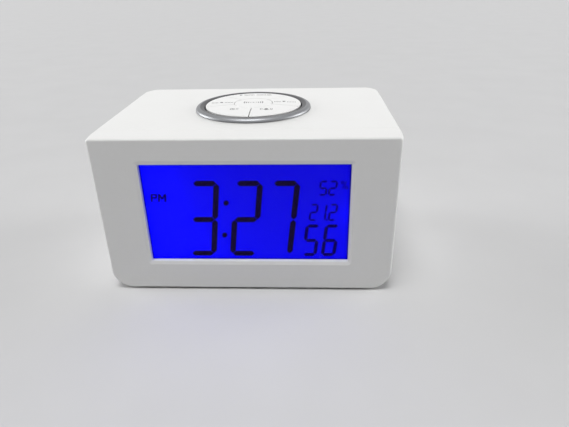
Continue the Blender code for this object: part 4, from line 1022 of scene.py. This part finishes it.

# %% [markdown]
# Below the stems lies one silicone mat with a dome for each key. A real dome folds in when its
# key goes down, and a rigid one would let the stem cut through it. Here each dome is a piece of
# its own, with a mesh of its own, and it stays on the case.

# %% Mat and domes
SHEET_THICKNESS = 1.0 * MM
DOME_RADIUS, DOME_TOP_RADIUS, DOME_ROUND = 3.4 * MM, 2.2 * MM, 0.3 * MM
mat_low, mat_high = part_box("key_mat")
sheet_top_z = mat_low.z + SHEET_THICKNESS
sheet = rod((mat_high.x - mat_low.x) / 2, mat_low.z, sheet_top_z, "Z", (dial_x, dial_y, 0.0),
            DIAL_SIDES)
sheet.name = "mat_sheet"
settle(sheet, "silicone_grey", replaces=["key_mat"])
dome_profile = [(0.0, sheet_top_z - OVERLAP), (DOME_RADIUS, sheet_top_z - OVERLAP),
                (DOME_RADIUS, sheet_top_z)]
dome_profile += arc_points((DOME_TOP_RADIUS - DOME_ROUND, mat_high.z - DOME_ROUND),
                           DOME_ROUND, DOME_ROUND, 30, 90, 3) + [(0.0, mat_high.z)]
for name, (x, y) in stem_places.items():
    dome = spin(name.replace("key", "mat_dome"), dome_profile, (x, y, 0.0))
    settle(dome, "silicone_grey")
    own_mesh(dome)

# %% [markdown]
# ## Printed marks
# A mark is a flat shape that follows the dome a few hundredths of a millimetre above it. Plain
# signs stand for what the keys do: sound waves in the middle, arrows between scales at the sides,
# a moon and a lamp at the back, and a dial and a bell in front. Each mark rides on its own key.

# %% Flat shapes
INK = 0.03 * MM
INK_SINK = 0.03 * MM


def bar(x, y, width, height):
    return [[(x + side * width / 2, y + way * height / 2) for side, way in SQUARE]]


def band(x, y, inner, outer, start=0.0, end=360.0, steps=16):
    """Part of a ring, as a row of four-sided shapes."""
    shapes = []
    for step in range(steps):
        a, b = (math.radians(start + (end - start) * (step + more) / steps) for more in (0, 1))
        shapes.append([(x + r * math.cos(angle), y + r * math.sin(angle))
                       for r, angle in ((inner, a), (outer, a), (outer, b), (inner, b))])
    return shapes


def disc(x, y, radius, steps=16):
    return [arc_points((x, y), radius, radius, 0, 360, steps)[:-1]]


def side_bands(x, y, reaches, stroke, spread):
    """Arcs of waves to the left and right of a place."""
    return [shape for reach in reaches for middle in (0, 180) for shape in band(
        x, y, reach - stroke / 2, reach + stroke / 2, middle - spread, middle + spread, 6)]


def plates(name, pairs):
    """Flat plates as one piece, each between an upper and a lower row of points."""
    shape = bmesh.new()
    for pair in pairs:
        upper, lower = ([shape.verts.new(point) for point in row] for row in pair)
        shape.faces.new(upper)
        shape.faces.new(lower[::-1])
        join(shape, upper, lower)
    return mesh_piece(name, shape)


def print_on_key(name, shapes, key, material="mark_grey"):
    """Lays flat shapes, drawn in millimetres from the dial's centre, on the keys' dome."""
    pairs = []
    for flat in shapes:
        points = [(x * MM, y * MM) for x, y in flat]
        pairs.append([[(dial_x + x, dial_y + y, top_z + dome_height(math.hypot(x, y)) + rise)
                       for x, y in points] for rise in (INK, -INK_SINK)])
    settle(plates(name, pairs), material, key)


print("ink %.2f mm thick" % (INK / MM))

# %% Marks on the six keys
# In millimetres from the dial's centre
TICK_WIDTH, TICK_HEIGHT, TICK_PITCH = 0.36, 1.1, 0.72
WAVES_Y, ARROW_RISE, ARROW_REACH, ARROW_ROOM, SCALE_START = 0.9, 0.7, 1.0, 1.9, 10.7
REAR_Y, REAR_TICK, MOON_STEPS = 18.4, 1.7, 10
LAMP_X, RAYS, RAY_HALF, RAY_START, RAY_END = 6.6, 8, 0.13, 1.15, 1.6
BELL_X, SIGN_X, SIGN_Y = 7.4, -9.1, -11.7


def ticks(start, end, y, height=TICK_HEIGHT, pitch=TICK_PITCH):
    """A row of short upright strokes, like a scale."""
    count = round((end - start) / pitch)
    return [shape for index in range(count + 1)
            for shape in bar(start + (end - start) * index / count, y, TICK_WIDTH, height)]


waves = disc(0.0, WAVES_Y, 0.5) + side_bands(0.0, WAVES_Y, (1.4, 2.5, 3.6, 4.7), 0.48, 20)
print_on_key("print_centre", waves, "key_centre")
for name, x, y, way, far in (("left", -16.4, 1.5, 1, -21.2), ("right", 15.3, 2.1, -1, 21.1)):
    side = 1 if far > 0 else -1
    foot, head = (y + ARROW_RISE + end * ARROW_REACH for end in (-way, way))
    arrow = [[(x - ARROW_REACH, foot), (x + ARROW_REACH, foot), (x, head)]]
    print_on_key("print_arrow_" + name, arrow, "key_" + name, "mark_black")
    scale = ticks(*sorted((far, x + side * ARROW_ROOM)), y)
    scale += ticks(*sorted((side * SCALE_START, x - side * ARROW_ROOM)), y)
    print_on_key("print_scale_" + name, scale, "key_" + name)
moon = []
for step in range(MOON_STEPS):
    a, b = (math.pi * (step + more) / MOON_STEPS + math.pi / 2 for more in (0, 1))
    moon.append([(x + reach * math.cos(turn), REAR_Y + rise * math.sin(turn))
                 for x, reach, rise, turn in ((-8.0, 1.15, 1.15, a), (-8.0, 1.15, 1.15, b),
                                              (-7.6, 0.75, 0.98, b), (-7.6, 0.75, 0.98, a))])
lamp = band(LAMP_X, REAR_Y, 0.55, 0.9)
for step in range(RAYS):
    angle = 2 * math.pi * step / RAYS
    lamp.append([(LAMP_X + r * math.cos(angle) + side * RAY_HALF * math.sin(angle),
                  REAR_Y + r * math.sin(angle) - side * RAY_HALF * math.cos(angle))
                 for r, side in ((RAY_START, -1), (RAY_END, -1), (RAY_END, 1), (RAY_START, 1))])
rear_scales = ticks(-6.3, -1.5, REAR_Y, REAR_TICK) + ticks(0.3, 4.6, REAR_Y, REAR_TICK)
print_on_key("print_rear", moon + rear_scales + lamp, "key_rear")
dial_sign = (band(SIGN_X, SIGN_Y, 0.9, 1.25) + bar(SIGN_X, -11.35, 0.28, 0.8)
             + bar(-8.8, -11.8, 0.7, 0.28) + ticks(-7.3, -6.3, SIGN_Y, TICK_HEIGHT, 0.5))
bell = ([[(5.9, -13.2), (8.9, -13.2), (8.35, -12.6), (8.2, -11.7), (7.85, -11.1), (7.4, -10.9),
          (6.95, -11.1), (6.6, -11.7), (6.45, -12.6)]] + disc(BELL_X, -13.65, 0.32, 10)
        + side_bands(BELL_X, -12.2, (2.1, 2.9), 0.32, 26))
print_on_key("print_front_left", dial_sign, "key_front_left")
print_on_key("print_front_right", bell, "key_front_right")

# %% [markdown]
# ## The display
# The digits lean a little, and each is up to seven bars with pointed ends that meet at a mitre.
# The large ones show the hour and minute, the middle ones the seconds, and the small ones a
# temperature and a humidity. They are thin plates in front of the glass.

# %% Segments
SEGMENTS = {"1": "bc", "2": "abged", "3": "abgcd", "5": "afgcd", "6": "afgecd", "7": "abc"}
LEAN = 0.113
MITRE_GAP = 0.12
SEGMENT_THICKNESS, GLASS_CLEARANCE = 0.08 * MM, 0.005 * MM


def lean(points, middle):
    return [(x + LEAN * (z - middle), z) for x, z in points]


def pointed_bar(near, far, level, step, rise):
    """A bar with pointed ends, as (along, across) points."""
    return [(near, level), (near + step, level - rise), (far - step, level - rise), (far, level),
            (far - step, level + rise), (near + step, level + rise)]


def digit(character, x, z, half_width, half_height, stroke):
    """A seven-segment digit, in millimetres, with x and z at its middle."""
    t = stroke / 2
    across = half_width - MITRE_GAP
    flat = {"a": z + half_height, "g": z, "d": z - half_height}
    upright = {"f": (x - half_width, 1), "b": (x + half_width, 1), "e": (x - half_width, -1),
               "c": (x + half_width, -1)}
    shapes = []
    for segment in SEGMENTS[character]:
        if segment in flat:
            points = pointed_bar(x - across, x + across, flat[segment], t, t)
        else:
            side, way = upright[segment]
            points = [(level, height) for height, level in pointed_bar(
                z + way * MITRE_GAP, z + way * (half_height - MITRE_GAP), side, way * t, -t)]
        shapes.append(lean(points, z))
    return shapes


def number(characters, places, *sizes):
    """Digits side by side, each with its middle at one of the places."""
    return [shape for character, x in zip(characters, places)
            for shape in digit(character, x, *sizes)]


def lay_on_display(name, shapes, material):
    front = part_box("lcd_glass")[0].y
    pairs = [[[(x * MM, y, z * MM) for x, z in flat]
              for y in (front - SEGMENT_THICKNESS, front - GLASS_CLEARANCE)] for flat in shapes]
    settle(plates(name, pairs), material)


print(sum(len(parts) for parts in SEGMENTS.values()), "segments in the table")

# %% Hours, minutes and seconds
# Half width, half height and stroke of the digits
BIG, MIDDLING = (5.23, 17.96, 2.6), (2.65, 7.6, 1.55)
SMALL, SMALLER = (1.45, 3.85, 0.85), (1.45, 3.2, 0.85)
TIME_LEVEL, COLON_X, COLON_REACH = 35.3, -10.4, 8.25
big_shapes = number("327", (-20.4, -0.9, 15.6), TIME_LEVEL, *BIG)
for way in (1, -1):
    dot = arc_points((COLON_X, TIME_LEVEL + 0.15 + way * COLON_REACH), 1.25, 1.35,
                     22.5, 382.5, 8)[:-1]
    big_shapes.append(lean(dot, TIME_LEVEL))
lay_on_display("display_time", big_shapes, "segment_dark")
lay_on_display("display_seconds", number("56", (28.95, 37.8), 24.45, *MIDDLING), "segment_navy")

# %% Temperature, humidity and half of the day
small_shapes = number("212", (30.0, 34.0, 38.7), 39.0, *SMALL) + disc(36.0, 35.2, 0.42, 8)
small_shapes += number("52", (34.2, 38.4), 50.9, *SMALLER)
for x, z in ((42.6, 53.6), (44.3, 51.2)):
    small_shapes += band(x, z, 0.35, 0.75, steps=10)
small_shapes.append([(42.35, 50.6), (42.8, 50.6), (44.6, 54.2), (44.15, 54.2)])
lay_on_display("display_small", small_shapes, "segment_faint")
HALF_DAY_LEVEL = 46.2
M_MIDDLE, M_SLANT, M_FOOT, M_HEAD = -38.35, 1.3, 45.6, 48.1
half_day = []
for x in (-43.2, -39.8, -36.9):
    half_day += bar(x, HALF_DAY_LEVEL, 0.85, 3.8)
for sizes in ((-42.0, 47.8, 1.6, 0.7), (-42.0, 46.3, 1.6, 0.7), (-41.1, 47.05, 0.75, 2.1)):
    half_day += bar(*sizes)
for side in (-1, 1):
    head_x = M_MIDDLE + side * M_SLANT
    half_day.append([(M_MIDDLE - 0.45, M_FOOT), (M_MIDDLE + 0.45, M_FOOT),
                     (head_x + 0.4, M_HEAD), (head_x - 0.4, M_HEAD)])
lay_on_display("display_half_day", [lean(flat, HALF_DAY_LEVEL) for flat in half_day],
               "segment_navy")

# %% [markdown]
# ## Finishes on the carried-over solids
# The pieces inside keep their solids, and each still needs its real finish. One table gives every
# solid its material by the start of its name, and the longest start that fits counts.

# %% Materials by name
FINISHES = {
    "lens_clear": "window_lens", "foam_black": "lens_gasket", "display_blue": "lcd_glass",
    "guide_clear": "light_guide", "reflector_white": "reflector_sheet",
    "zebra_grey": "zebra_strip", "epoxy_black": "controller_blob speech_chip",
    "board_green": "backlight_led_bar main_board key_board sensor_board",
    "inner_white": "lcd_holder ribbon_socket key_guide climate_sensor battery_tray",
    "screw_nickel": "board_screw key_board_screw case_screw", "can_aluminium": "capacitor",
    "silicone_grey": "key_mat", "cable_grey": "ribbon_cable sensor_cable",
    "basket_zinc": "speaker_basket", "cone_paper": "speaker_cone",
    "ferrite_grey": "speaker_magnet", "cable_black": "speaker_cable", "sleeve_dark": "cell_",
    "contact_nickel": "contact_", "cable_red": "battery_cable", "foot_grey": "foot_",
    "key_white": "key_", "ring_silver": "dial_ring",
    "case_white": "front_bezel rear_case battery_door"}
finish_of = {start: finish for finish, starts in FINISHES.items() for start in starts.split()}
for name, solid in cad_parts.items():
    start = max((start for start in finish_of if name.startswith(start)), key=len)
    material = bpy.data.materials[finish_of[start]]
    if not solid.material_slots:
        solid.data.materials.append(material)
    for slot_on_solid in solid.material_slots:
        slot_on_solid.material = material
print(len(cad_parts), "solids finished")

# %% [markdown]
# ## Last measurements
# The dressed clock has to keep the size of its solids. Both boxes are printed as plain numbers.

# %% Sizes and finish
visual_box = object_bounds()
sizes = {"cad": [[float(value) for value in corner] for corner in cad_box],
         "visual": [[float(value) for value in corner] for corner in visual_box]}
print(sizes)
